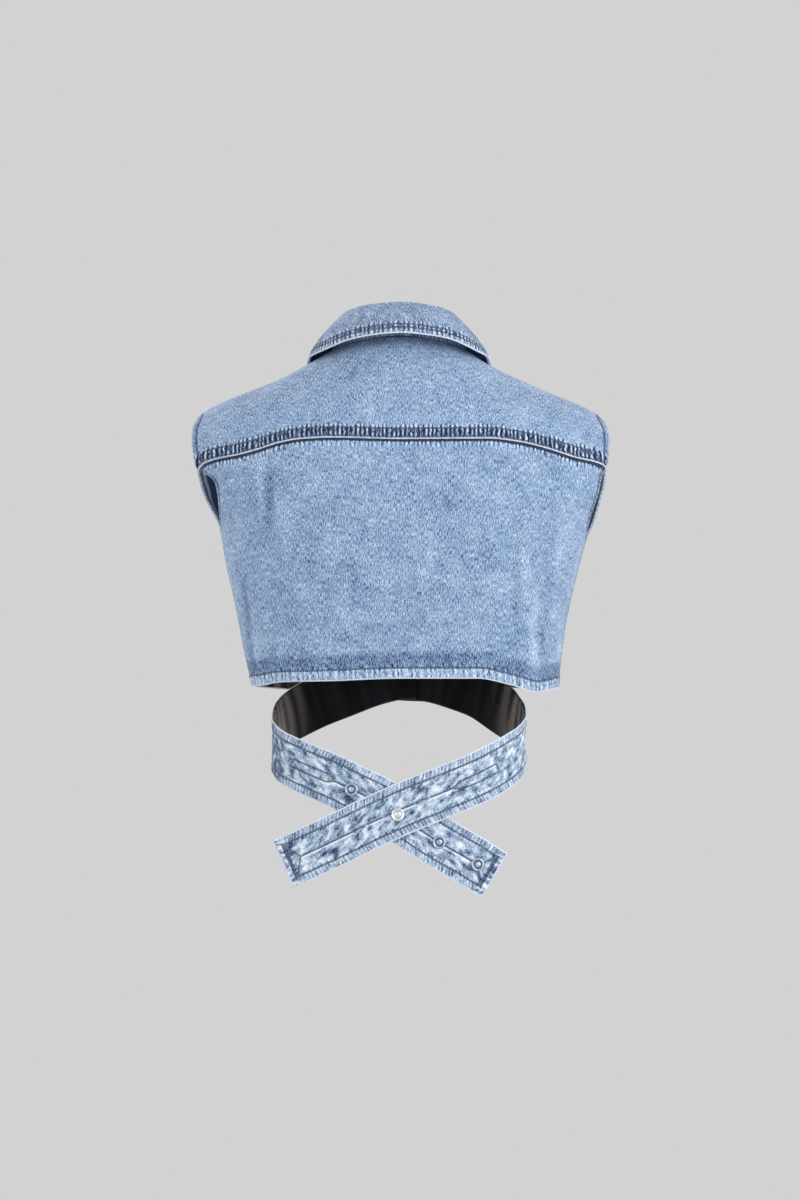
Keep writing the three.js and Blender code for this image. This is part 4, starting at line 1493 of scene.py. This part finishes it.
def sew_strap(mesh, piece):
    """A strap's rows: both edges, its end with a bow tie, its centre row and oblong, and its buttonholes."""
    piece.skin = piece.surface()
    sew_edge(mesh, piece, "strap_edge", piece.top)
    sew_edge(mesh, piece, "strap_edge", piece.bottom)
    for start, end in strap_lines():
        run_stitches(mesh, strap_path(piece, start, end))
    if piece.hand < 0:
        for far in BUTTONHOLES:
            buttonhole(mesh, piece, far)


def make_threads(name, piece, sew, material):
    """Makes one object of a piece's stitches."""
    mesh = bmesh.new()
    sew(mesh, piece)
    for face in mesh.faces:
        face.smooth = True
    obj = link_mesh(mesh, name, [material])
    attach(obj, "root")
    return obj


# Buttons

# A button's outline from the middle of its back round its rolled rim to its domed front, as the distance from
# its axis and the height, in mm. The ring between the hollow's two distances takes a darker material.
BUTTON_PROFILE = [
    (0, 0),
    (5.2, 0),
    (6.5, 0.45),
    (7, 1.1),
    (6.95, 2.1),
    (6.6, 2.85),
    (6, 3.2),
    (5.4, 3.1),
    (4.9, 2.6),
    (4.3, 2.3),
    (3.3, 2.3),
    (2.8, 2.7),
    (2.1, 3),
    (0, 3.1),
]
BUTTON_HOLLOW = (3, 4.7)
BUTTON_STEPS = 40

# Where the buttons sit: on the left strap from its free end, with the one that is fastened through the right
# strap and how far it stands out for that, and on the placket by their heights.
STRAP_BUTTON_FROM_END = (22, 69, 121, 176)
FASTENED_BUTTON = 2
FASTENED_LIFT = 4.6
PLACKET_BUTTON_HEIGHTS = (-78, -138, -198, -258)


def strap_frame(line, from_end):
    """A place on a strap's middle line with its outward direction."""
    point, tangent = line.at(line.length - from_end)
    up = strap_point(line, line.length - from_end, 1) - strap_point(line, line.length - from_end, -1)
    normal = tangent.cross(up).normalized()
    return point, normal if normal.dot(Vector((point.x, point.y, 0))) > 0 else -normal


def make_button(name, point, normal, materials):
    """A metal button with a rolled rim and a domed middle, turned on a lathe and set on the cloth."""
    mesh = bmesh.new()
    line = [mesh.verts.new((r * MM, 0, h * MM)) for r, h in BUTTON_PROFILE]
    edges = [mesh.edges.new(pair) for pair in zip(line, line[1:])]
    bmesh.ops.spin(mesh, geom=line + edges, cent=(0, 0, 0), axis=(0, 0, 1), dvec=(0, 0, 0),
                   angle=math.tau, steps=BUTTON_STEPS, use_merge=True, use_duplicate=False)
    bmesh.ops.remove_doubles(mesh, verts=mesh.verts, dist=0.00001)
    bmesh.ops.recalc_face_normals(mesh, faces=mesh.faces)
    for face in mesh.faces:
        middle = face.calc_center_median()
        reach = math.hypot(middle.x, middle.y) / MM
        face.material_index = int(middle.z > MM and BUTTON_HOLLOW[0] < reach < BUTTON_HOLLOW[1])
    turn = normal.to_track_quat("Z", "Y").to_matrix().to_4x4()
    seat = Matrix.Translation((point + normal * LAYER_GAP) * MM)
    bmesh.ops.transform(mesh, matrix=seat @ turn, verts=mesh.verts)
    for face in mesh.faces:
        face.smooth = True
    obj = link_mesh(mesh, name, materials)
    finish_node(obj, name)
    return obj


# Materials


def linear(colour):
    """Turns an sRGB hex colour into linear red, green, blue and alpha."""
    parts = [int(colour[i:i + 2], 16) / 255 for i in (1, 3, 5)]
    return tuple(c / 12.92 if c <= 0.04045 else ((c + 0.055) / 1.055) ** 2.4 for c in parts) + (1.0,)


def add(tree, kind, inputs=None, stops=()):
    """Adds a node with its settings, its inputs' values and links, and the stops of its colour ramp."""
    node = tree.nodes.new(kind)
    for key, value in (inputs or {}).items():
        if isinstance(value, bpy.types.NodeSocket):
            tree.links.new(value, node.inputs[key])
        elif isinstance(key, str) and hasattr(node, key):
            setattr(node, key, value)
        else:
            node.inputs[key].default_value = value
    for index, (place, colour) in enumerate(stops):
        elements = node.color_ramp.elements
        element = elements[index] if index < len(elements) else elements.new(place)
        element.position = place
        element.color = linear(colour)
    return node


def new_material(name):
    """An empty node material and its tree."""
    material = bpy.data.materials.new(name)
    material.use_nodes = True
    material.node_tree.nodes.clear()
    return material, material.node_tree


def speckle(tree, cloth, width, length, detail=2.0):
    """Noise in flecks of a real width and length in mm, which run down the cloth."""
    scale = (1 / (width * MM), 1 / (length * MM), 1)
    placed = add(tree, "ShaderNodeMapping", {"Vector": cloth, "Scale": scale}).outputs["Vector"]
    flecks = add(tree, "ShaderNodeTexNoise", {
        "noise_dimensions": "2D",
        "Scale": 1.0,
        "Detail": detail,
        "Vector": placed,
    })
    return flecks.outputs["Fac"]


def weighted_sum(tree, start, parts):
    """Adds sources to a start value, each times its weight and counted from its middle."""
    total = start - sum(weight * middle for _, weight, middle in parts)
    for source, weight, _ in parts:
        inputs = {"operation": "MULTIPLY_ADD", 0: source, 1: weight, 2: total}
        total = add(tree, "ShaderNodeMath", inputs).outputs[0]
    return total


def near(tree, source, inner, outer):
    """1 where a distance is within inner, and 0 beyond outer."""
    way = add(tree, "ShaderNodeMath", {"operation": "ABSOLUTE", 0: source}).outputs[0]
    within = add(tree, "ShaderNodeMapRange", {
        "interpolation_type": "SMOOTHSTEP",
        "Value": way,
        "From Min": outer,
        "From Max": inner,
    })
    return within.outputs["Result"]


# The flecks of washed denim, as their width and length in mm and their detail: slubs of the yarn, worn
# knuckles of the weave, and the clouds and blotches of the wash.
FLECKS = {
    "slub": (0.95, 4.2, 2.0),
    "salt": (0.85, 1.1, 1.0),
    "cloud": (34, 46, 3.0),
    "blotch": (9, 13, 2.0),
}
GROOVE_SHADE = "#2c3a58"
WORN_EDGE = "#e3edfc"
NAVY_SHADE = "#42527a"
TWILL_SCALE = 240.0


def denim_colour(tree, cloth, colours, contrast, tone_and_shade):
    """The colour of washed denim and the height of its threads and puckers."""
    flecks = {key: speckle(tree, cloth, *sizes) for key, sizes in FLECKS.items()}
    marks = {
        key: add(tree, "ShaderNodeAttribute", {"attribute_name": key}).outputs["Fac"]
        for key in UNMARKED
    }
    turning = add(tree, "ShaderNodeMath", {"operation": "SINE", 0: marks["phase"]}).outputs[0]
    wave = add(tree, "ShaderNodeMath", {"operation": "MULTIPLY", 0: turning, 1: marks["held"]}).outputs[0]
    parts = [(flecks[key], weight, 0.5) for key, weight in contrast.items()]
    # The first mark carries the cloth's own tone together with painted shade and painted highlights.
    tone = weighted_sum(tree, 0.5, [*parts, (marks["tone_and_shade"], tone_and_shade, 0.0), (wave, tone_and_shade, 0.0)])
    stops = zip((0.0, 0.25, 0.5, 0.75, 1.0), colours)
    dyed = add(tree, "ShaderNodeValToRGB", {"Fac": tone}, stops).outputs["Color"]
    # Painted shade: a dark line in the groove along each row of stitches.
    row_a, row_b = (near(tree, marks[key], 0.5, 1.5) for key in ("row_a", "row_b"))
    rows = add(tree, "ShaderNodeMath", {"operation": "MAXIMUM", 0: row_a, 1: row_b}).outputs[0]
    share = add(tree, "ShaderNodeMath", {"operation": "MULTIPLY", 0: rows, 1: 0.85}).outputs[0]
    grooved = add(tree, "ShaderNodeMix", {"data_type": "RGBA", 0: share, 6: dyed, 7: linear(GROOVE_SHADE)})
    patchy = add(tree, "ShaderNodeMapRange", {"Value": flecks["salt"], "From Min": 0.2, "From Max": 0.45})
    worn = near(tree, marks["off"], 0.8, 1.8)
    for by in (marks["worn"], patchy.outputs["Result"]):
        worn = add(tree, "ShaderNodeMath", {"operation": "MULTIPLY", 0: worn, 1: by}).outputs[0]
    colour = add(tree, "ShaderNodeMix", {
        "data_type": "RGBA",
        0: worn,
        6: grooved.outputs[2],
        7: linear(WORN_EDGE),
    })
    twill = add(tree, "ShaderNodeTexWave", {
        "wave_type": "BANDS",
        "bands_direction": "DIAGONAL",
        "Scale": TWILL_SCALE,
        "Distortion": 0.6,
        "Vector": cloth,
    })
    height = weighted_sum(tree, 0.0, [
        (flecks["slub"], 0.7, 0.5),
        (flecks["salt"], 0.5, 0.5),
        (twill.outputs["Fac"], 0.25, 0.5),
        (wave, 0.3, 0.0),
        (rows, -0.5, 0.0),
    ])
    return colour.outputs[2], height


# The surfaces of the cloth's face and of its reverse.
MATT_FACE = {"Roughness": 0.88, "Specular IOR Level": 0.25, "Sheen Weight": 0.12, "Sheen Roughness": 0.5}
DULL_REVERSE = {"Roughness": 0.95, "Specular IOR Level": 0.1}


def finish_surface(tree, surface, colour, height, strength, distance):
    """Joins a colour and a relief to a surface's shader, and the shader to the material's output."""
    relief = add(tree, "ShaderNodeBump", {"Strength": strength, "Distance": distance, "Height": height})
    inputs = {**surface, "Base Color": colour, "Normal": relief.outputs["Normal"]}
    shader = add(tree, "ShaderNodeBsdfPrincipled", inputs)
    add(tree, "ShaderNodeOutputMaterial", {"Surface": shader.outputs[0]})


def denim(name, colours, contrast, tone_and_shade):
    """Indigo-dyed cotton twill, stone-washed: matt, with pale flecks where the dye has worn off the threads.

    Warp flecks are about 1 mm wide and 4 mm long. The twill line is really 0.6 mm apart, and is drawn at
    1.3 mm so that it shows."""
    material, tree = new_material(name)
    cloth = add(tree, "ShaderNodeUVMap", {"uv_map": "cloth"}).outputs["UV"]
    colour, height = denim_colour(tree, cloth, colours, contrast, tone_and_shade)
    finish_surface(tree, MATT_FACE, colour, height, 0.7, 0.0005)
    return material


def shaded_colour(tree, cloth, place, dark, streak, side_dark, painted_side_light):
    """Painted shade: nearly black with upright streaks, and a warmer grey of painted light at the sides."""
    streaks = speckle(tree, cloth, 11, 90, 0.0)
    fine = speckle(tree, cloth, 1.2, 5)
    tone = weighted_sum(tree, 0.45, [(streaks, 1.6, 0.5), (fine, 0.12, 0.5)])
    far = add(tree, "ShaderNodeMath", {"operation": "ABSOLUTE", 0: place.outputs["X"]}).outputs[0]
    side = add(tree, "ShaderNodeMapRange", {"Value": far, "From Min": 0.096, "From Max": 0.126})
    middle, edge = (
        add(tree, "ShaderNodeValToRGB", {"Fac": tone}, stops).outputs["Color"]
        for stops in ([(0.2, dark), (0.9, streak)], [(0.15, side_dark), (0.75, painted_side_light)])
    )
    inputs = {"data_type": "RGBA", 0: side.outputs["Result"], 6: middle, 7: edge}
    return add(tree, "ShaderNodeMix", inputs).outputs[2]


def half_shaded(name, colours, contrast, shade, axis, low, high, shaded_inward=False):
    """The inner face of the denim: in deep shade up to a place along an axis, in metres, and lit beyond it.

    With its last argument set, it is lit only close to its stitched edges, with painted navy shade further
    in."""
    material, tree = new_material(name)
    cloth = add(tree, "ShaderNodeUVMap", {"uv_map": "cloth"}).outputs["UV"]
    spot = add(tree, "ShaderNodeTexCoord").outputs["Object"]
    place = add(tree, "ShaderNodeSeparateXYZ", {"Vector": spot})
    colour, height = denim_colour(tree, cloth, colours, contrast, 0.2)
    if shaded_inward:
        # Painted navy shade inside the stitched edges.
        off = add(tree, "ShaderNodeAttribute", {"attribute_name": "off"}).outputs["Fac"]
        rim = near(tree, off, 9, 12)
        inside = add(tree, "ShaderNodeMath", {"operation": "SUBTRACT", 0: 1.0, 1: rim}).outputs[0]
        inputs = {"data_type": "RGBA", 0: inside, 6: colour, 7: linear(NAVY_SHADE)}
        colour = add(tree, "ShaderNodeMix", inputs).outputs[2]
    lit = add(tree, "ShaderNodeMapRange", {"Value": place.outputs[axis], "From Min": low, "From Max": high})
    shaded = shaded_colour(tree, cloth, place, *shade)
    both = add(tree, "ShaderNodeMix", {"data_type": "RGBA", 0: lit.outputs["Result"], 6: shaded, 7: colour})
    finish_surface(tree, MATT_FACE, both.outputs[2], height, 0.7, 0.0005)
    return material


def denim_reverse(name, shade):
    """The weft side of the twill, seen in the shade inside the vest: dull and dark, with upright streaks."""
    material, tree = new_material(name)
    cloth = add(tree, "ShaderNodeUVMap", {"uv_map": "cloth"}).outputs["UV"]
    spot = add(tree, "ShaderNodeTexCoord").outputs["Object"]
    place = add(tree, "ShaderNodeSeparateXYZ", {"Vector": spot})
    colour = shaded_colour(tree, cloth, place, *shade)
    finish_surface(tree, DULL_REVERSE, colour, speckle(tree, cloth, 1.2, 5), 0.5, 0.0004)
    return material


def cotton_thread():
    """Corespun cotton thread, blue and washed pale: matt, with a slight sheen along each stitch."""
    material, tree = new_material("thread_blue_cotton")
    place = add(tree, "ShaderNodeTexCoord").outputs["Object"]
    fleck = add(tree, "ShaderNodeTexNoise", {"Scale": 260.0, "Detail": 1.0, "Vector": place}).outputs["Fac"]
    stops = [(0.35, "#5f7699"), (0.7, "#b4c6de")]
    colour = add(tree, "ShaderNodeValToRGB", {"Fac": fleck}, stops).outputs["Color"]
    inputs = {"Roughness": 0.7, "Sheen Weight": 0.2, "Base Color": colour}
    shader = add(tree, "ShaderNodeBsdfPrincipled", inputs)
    add(tree, "ShaderNodeOutputMaterial", {"Surface": shader.outputs[0]})
    return material


def button_metal(name, colour, roughness):
    """Nickel-plated brass, stamped and tumbled: bright and white with softly scuffed high spots."""
    material, tree = new_material(name)
    place = add(tree, "ShaderNodeTexCoord").outputs["Object"]
    scuffs = add(tree, "ShaderNodeTexNoise", {"Scale": 700.0, "Detail": 3.0, "Vector": place}).outputs["Fac"]
    rough = add(tree, "ShaderNodeMapRange", {
        "Value": scuffs,
        "To Min": roughness - 0.1,
        "To Max": roughness + 0.15,
    })
    surface = {"Metallic": 1.0, "Roughness": rough.outputs["Result"]}
    finish_surface(tree, surface, linear(colour), scuffs, 0.25, 0.0001)
    return material


def plain_light(name, colour):
    """The evenly lit paper of a studio floor."""
    material, tree = new_material(name)
    glow = add(tree, "ShaderNodeEmission", {"Color": linear(colour), "Strength": 1.0})
    add(tree, "ShaderNodeOutputMaterial", {"Surface": glow.outputs[0]})
    return material


# Colours of the denim from its darkest to its palest, and of the painted shade inside: its dark and its
# streaks in the middle, and then its dark and its painted light at the sides.
BODY_COLOURS = ("#1c2945", "#6682ac", "#8da8c9", "#a9c3e2", "#e4edf9")
COLLAR_COLOURS = ("#243254", "#5f789d", "#839cbd", "#a1b9d8", "#e4ecf8")
STRAP_COLOURS = ("#2b3a57", "#5d7492", "#9bb0ca", "#c0d3ea", "#f0f6fd")
INNER_COLOURS = ("#5a74a2", "#9db8de", "#c8dbf3", "#dfebf9", "#fbfdff")
DEEP_SHADE = ("#08080a", "#1f2025", "#3a3534", "#8f857f")
LIGHT_SHADE = ("#4a566a", "#6f7d93", "#4f5a6c", "#76849b")
BACKDROP = "#d2d2d2"


def finish_cloth(obj, node, piece, sew, thread):
    """Sews a piece's stitches, and lets the piece ride on the vest and stand for its CAD node."""
    threads = make_threads(f"{node}_thread", piece, sew, thread)
    finish_node(obj, node)


# Sizes and colours that a user would change


class VestSettings(bpy.types.PropertyGroup):
    """Sizes and colours of the vest."""

    body_cloth: FloatProperty(
        name="Body cloth", description="Thickness of the body's cloth",
        default=BODY_CLOTH * MM, unit="LENGTH")
    collar_cloth: FloatProperty(
        name="Collar cloth", description="Thickness of the collar's cloth",
        default=COLLAR_CLOTH * MM, unit="LENGTH")
    strap_cloth: FloatProperty(
        name="Strap cloth", description="Thickness of the doubled straps",
        default=STRAP_CLOTH * MM, unit="LENGTH")
    backdrop: FloatVectorProperty(
        name="Backdrop", description="Colour of the light all round", size=4,
        default=linear(BACKDROP), subtype="COLOR")
    metal_roughness: FloatProperty(
        name="Metal roughness", description="How dull the buttons are", default=0.28, min=0, max=1,
        subtype="FACTOR")
    light: FloatProperty(
        name="Light", description="Strength of the studio lamps as a share of the usual", default=1.0, min=0,
        subtype="FACTOR")


class VEST_OT_body(bpy.types.Operator):
    """Makes the back, the yoke, the two fronts and the placket"""

    bl_idname = "vest.body"
    bl_label = "Body"

    def execute(self, context):
        cloth = context.scene.vest.body_cloth / MM
        grain = dict(slub=1.6, salt=1.1, cloud=0.3, blotch=0.35)
        outer = denim("denim_washed_twill", BODY_COLOURS, grain, 0.3)
        deep = half_shaded("denim_reverse_in_shade", INNER_COLOURS, grain, DEEP_SHADE, "Z", -0.3, -0.25, True)
        lighter = denim_reverse("denim_reverse", LIGHT_SHADE)
        thread = cotton_thread()
        parts = {
            "back_panel": (back_piece(), sew_back),
            "yoke": (yoke_piece(), sew_yoke),
            "front_left": (front_piece(1), sew_front),
            "front_right": (front_piece(-1), sew_front),
            "placket": (placket_piece(), sew_placket),
        }
        for node, (piece, sew) in parts.items():
            wall = PLACKET_CLOTH if node == "placket" else cloth
            inner = deep if node.startswith("front") else lighter
            obj = make_cloth(f"{node}_cloth", piece, wall, [outer, inner], tuck=node == "back_panel")
            finish_cloth(obj, node, piece, sew, thread)
        return {"FINISHED"}


class VEST_OT_collar(bpy.types.Operator):
    """Makes the collar's stand and leaf"""

    bl_idname = "vest.collar"
    bl_label = "Collar"

    def execute(self, context):
        cloth = context.scene.vest.collar_cloth / MM
        grain = dict(slub=1.5, salt=1.7, cloud=0.3, blotch=0.45)
        outer = denim("denim_washed_collar", COLLAR_COLOURS, grain, 0.33)
        thread = cotton_thread()
        parts = {
            "collar_stand": (stand_piece(), sew_stand),
            "collar_leaf": (leaf_piece(), sew_leaf),
        }
        for node, (piece, sew) in parts.items():
            obj = make_cloth(f"{node}_cloth", piece, cloth, [outer, outer])
            finish_cloth(obj, node, piece, sew, thread)
        return {"FINISHED"}


class VEST_OT_straps(bpy.types.Operator):
    """Makes the two waistband straps with their sewing"""

    bl_idname = "vest.straps"
    bl_label = "Straps"

    def execute(self, context):
        cloth = context.scene.vest.strap_cloth / MM
        mottle = dict(slub=0.7, salt=1.1, cloud=0.4, blotch=0.8)
        outer = denim("denim_mottled_strap", STRAP_COLOURS, mottle, 0.33)
        # The strap's reverse is painted in deep shade in front, and lit behind.
        reverse = half_shaded("denim_strap_reverse_half_shaded", COLLAR_COLOURS, mottle, DEEP_SHADE, "Y", 0.03, 0.062)
        thread = cotton_thread()
        for hand, node in ((1, "strap_left"), (-1, "strap_right")):
            piece = strap_piece(hand)
            obj = make_cloth(f"{node}_cloth", piece, cloth, [outer, reverse], rim=1)
            finish_cloth(obj, node, piece, sew_strap, thread)
        return {"FINISHED"}


class VEST_OT_buttons(bpy.types.Operator):
    """Makes the nine metal buttons"""

    bl_idname = "vest.buttons"
    bl_label = "Buttons"

    def execute(self, context):
        rough = context.scene.vest.metal_roughness
        bright = [
            button_metal("nickel_bright", "#f6f8fa", rough),
            button_metal("nickel_bright_hollow", "#ced4dc", rough + 0.1),
        ]
        dulled = [
            button_metal("nickel_dulled_blue", "#b9c7db", rough + 0.1),
            button_metal("nickel_dulled_hollow", "#5c6c88", rough + 0.2),
        ]
        left, right = STRAP_LINES[1], STRAP_LINES[-1]
        make_button("waist_button", *strap_frame(right, right.length - FRONT_OVERLAP), bright)
        for i, from_end in enumerate(STRAP_BUTTON_FROM_END):
            point, normal = strap_frame(left, from_end)
            fastened = i == FASTENED_BUTTON
            lifted = point + normal * (FASTENED_LIFT if fastened else 0)
            make_button(f"strap_button_{i + 1}", lifted, normal, bright if fastened else dulled)
        for i, z in enumerate(PLACKET_BUTTON_HEIGHTS):
            point, normal = right_front_frame(0, z)
            lifted = point + normal * (PLACKET_GAP + PLACKET_CLOTH)
            make_button(f"front_button_{i + 1}", lifted, normal, bright)
        return {"FINISHED"}


# The stage, in metres

CAMERA_DISTANCE = 16
CAMERA_HEIGHT = -0.2499
FRAME_HEIGHT = 1.26
SENSOR = 36
FLOOR_HEIGHT = -1.35
FLOOR_RADIUS = 40
FLOOR_SIDES = 96

# Soft lamps: the direction they stand in, in degrees, their distance and width in metres and their watts.
LAMPS = {
    "key_behind": dict(azimuth=236, elevation=14, distance=2.6, width=1.6, watts=38),
    "fill_behind": dict(azimuth=132, elevation=10, distance=2.8, width=2, watts=20),
    "key_before": dict(azimuth=35, elevation=24, distance=2.6, width=1.6, watts=26),
    "fill_before": dict(azimuth=-42, elevation=14, distance=2.8, width=2, watts=12),
}


class VEST_OT_stage(bpy.types.Operator):
    """Makes the floor, the even light, the soft lamps and the camera behind the vest"""

    bl_idname = "vest.stage"
    bl_label = "Stage"

    def execute(self, context):
        scene = context.scene
        scene.view_settings.view_transform = "Standard"
        mesh = bmesh.new()
        bmesh.ops.create_circle(mesh, cap_ends=True, segments=FLOOR_SIDES, radius=FLOOR_RADIUS)
        bmesh.ops.translate(mesh, vec=(0, 0, FLOOR_HEIGHT), verts=mesh.verts)
        floor = link_mesh(mesh, "floor", [plain_light("studio_floor_paper", BACKDROP)])
        world = bpy.data.worlds.new("studio")
        world.use_nodes = True
        background = world.node_tree.nodes["Background"]
        background.inputs["Color"].default_value = scene.vest.backdrop
        scene.world = world
        centre = (cad_low + cad_high) / 2
        for name, lamp in LAMPS.items():
            data = bpy.data.lights.new(name, "AREA")
            data.size = lamp["width"]
            data.energy = lamp["watts"] * scene.vest.light
            light = bpy.data.objects.new(name, data)
            a, e = math.radians(lamp["azimuth"]), math.radians(lamp["elevation"])
            back = Vector((math.sin(a) * math.cos(e), -math.cos(a) * math.cos(e), math.sin(e)))
            light.location = centre + back * lamp["distance"]
            light.rotation_euler = (-back).to_track_quat("-Z", "Y").to_euler()
            light.visible_camera = False
            scene.collection.objects.link(light)
        lens = bpy.data.cameras.new("camera")
        lens.sensor_width = SENSOR
        lens.lens = SENSOR * CAMERA_DISTANCE / FRAME_HEIGHT
        camera = bpy.data.objects.new("camera", lens)
        camera.location = (0, CAMERA_DISTANCE, CAMERA_HEIGHT)
        camera.rotation_euler = (math.radians(90), 0, math.radians(180))
        scene.collection.objects.link(camera)
        scene.camera = camera
        return {"FINISHED"}


class VEST_PT_panel(bpy.types.Panel):
    """Lists the vest's sizes, colours and pieces"""

    bl_label = "Denim vest"
    bl_idname = "VEST_PT_panel"
    bl_space_type = "VIEW_3D"
    bl_region_type = "UI"
    bl_category = "Vest"

    def draw(self, context):
        settings = context.scene.vest
        for name in VestSettings.__annotations__:
            self.layout.prop(settings, name)
        for operator in OPERATORS:
            self.layout.operator(operator.bl_idname)


OPERATORS = (VEST_OT_body, VEST_OT_collar, VEST_OT_straps, VEST_OT_buttons, VEST_OT_stage)


def register():
    """Adds the vest's settings, operators and panel."""
    for cls in (VestSettings, *OPERATORS, VEST_PT_panel):
        bpy.utils.register_class(cls)
    bpy.types.Scene.vest = PointerProperty(type=VestSettings)


def unregister():
    """Takes them away again."""
    del bpy.types.Scene.vest
    for cls in reversed((VestSettings, *OPERATORS, VEST_PT_panel)):
        bpy.utils.unregister_class(cls)


def main():
    """Builds the vest and its stage."""
    register()
    bpy.ops.vest.stage()
    bpy.ops.vest.body()
    bpy.ops.vest.collar()
    bpy.ops.vest.straps()
    bpy.ops.vest.buttons()


if __name__ == "__main__":
    main()
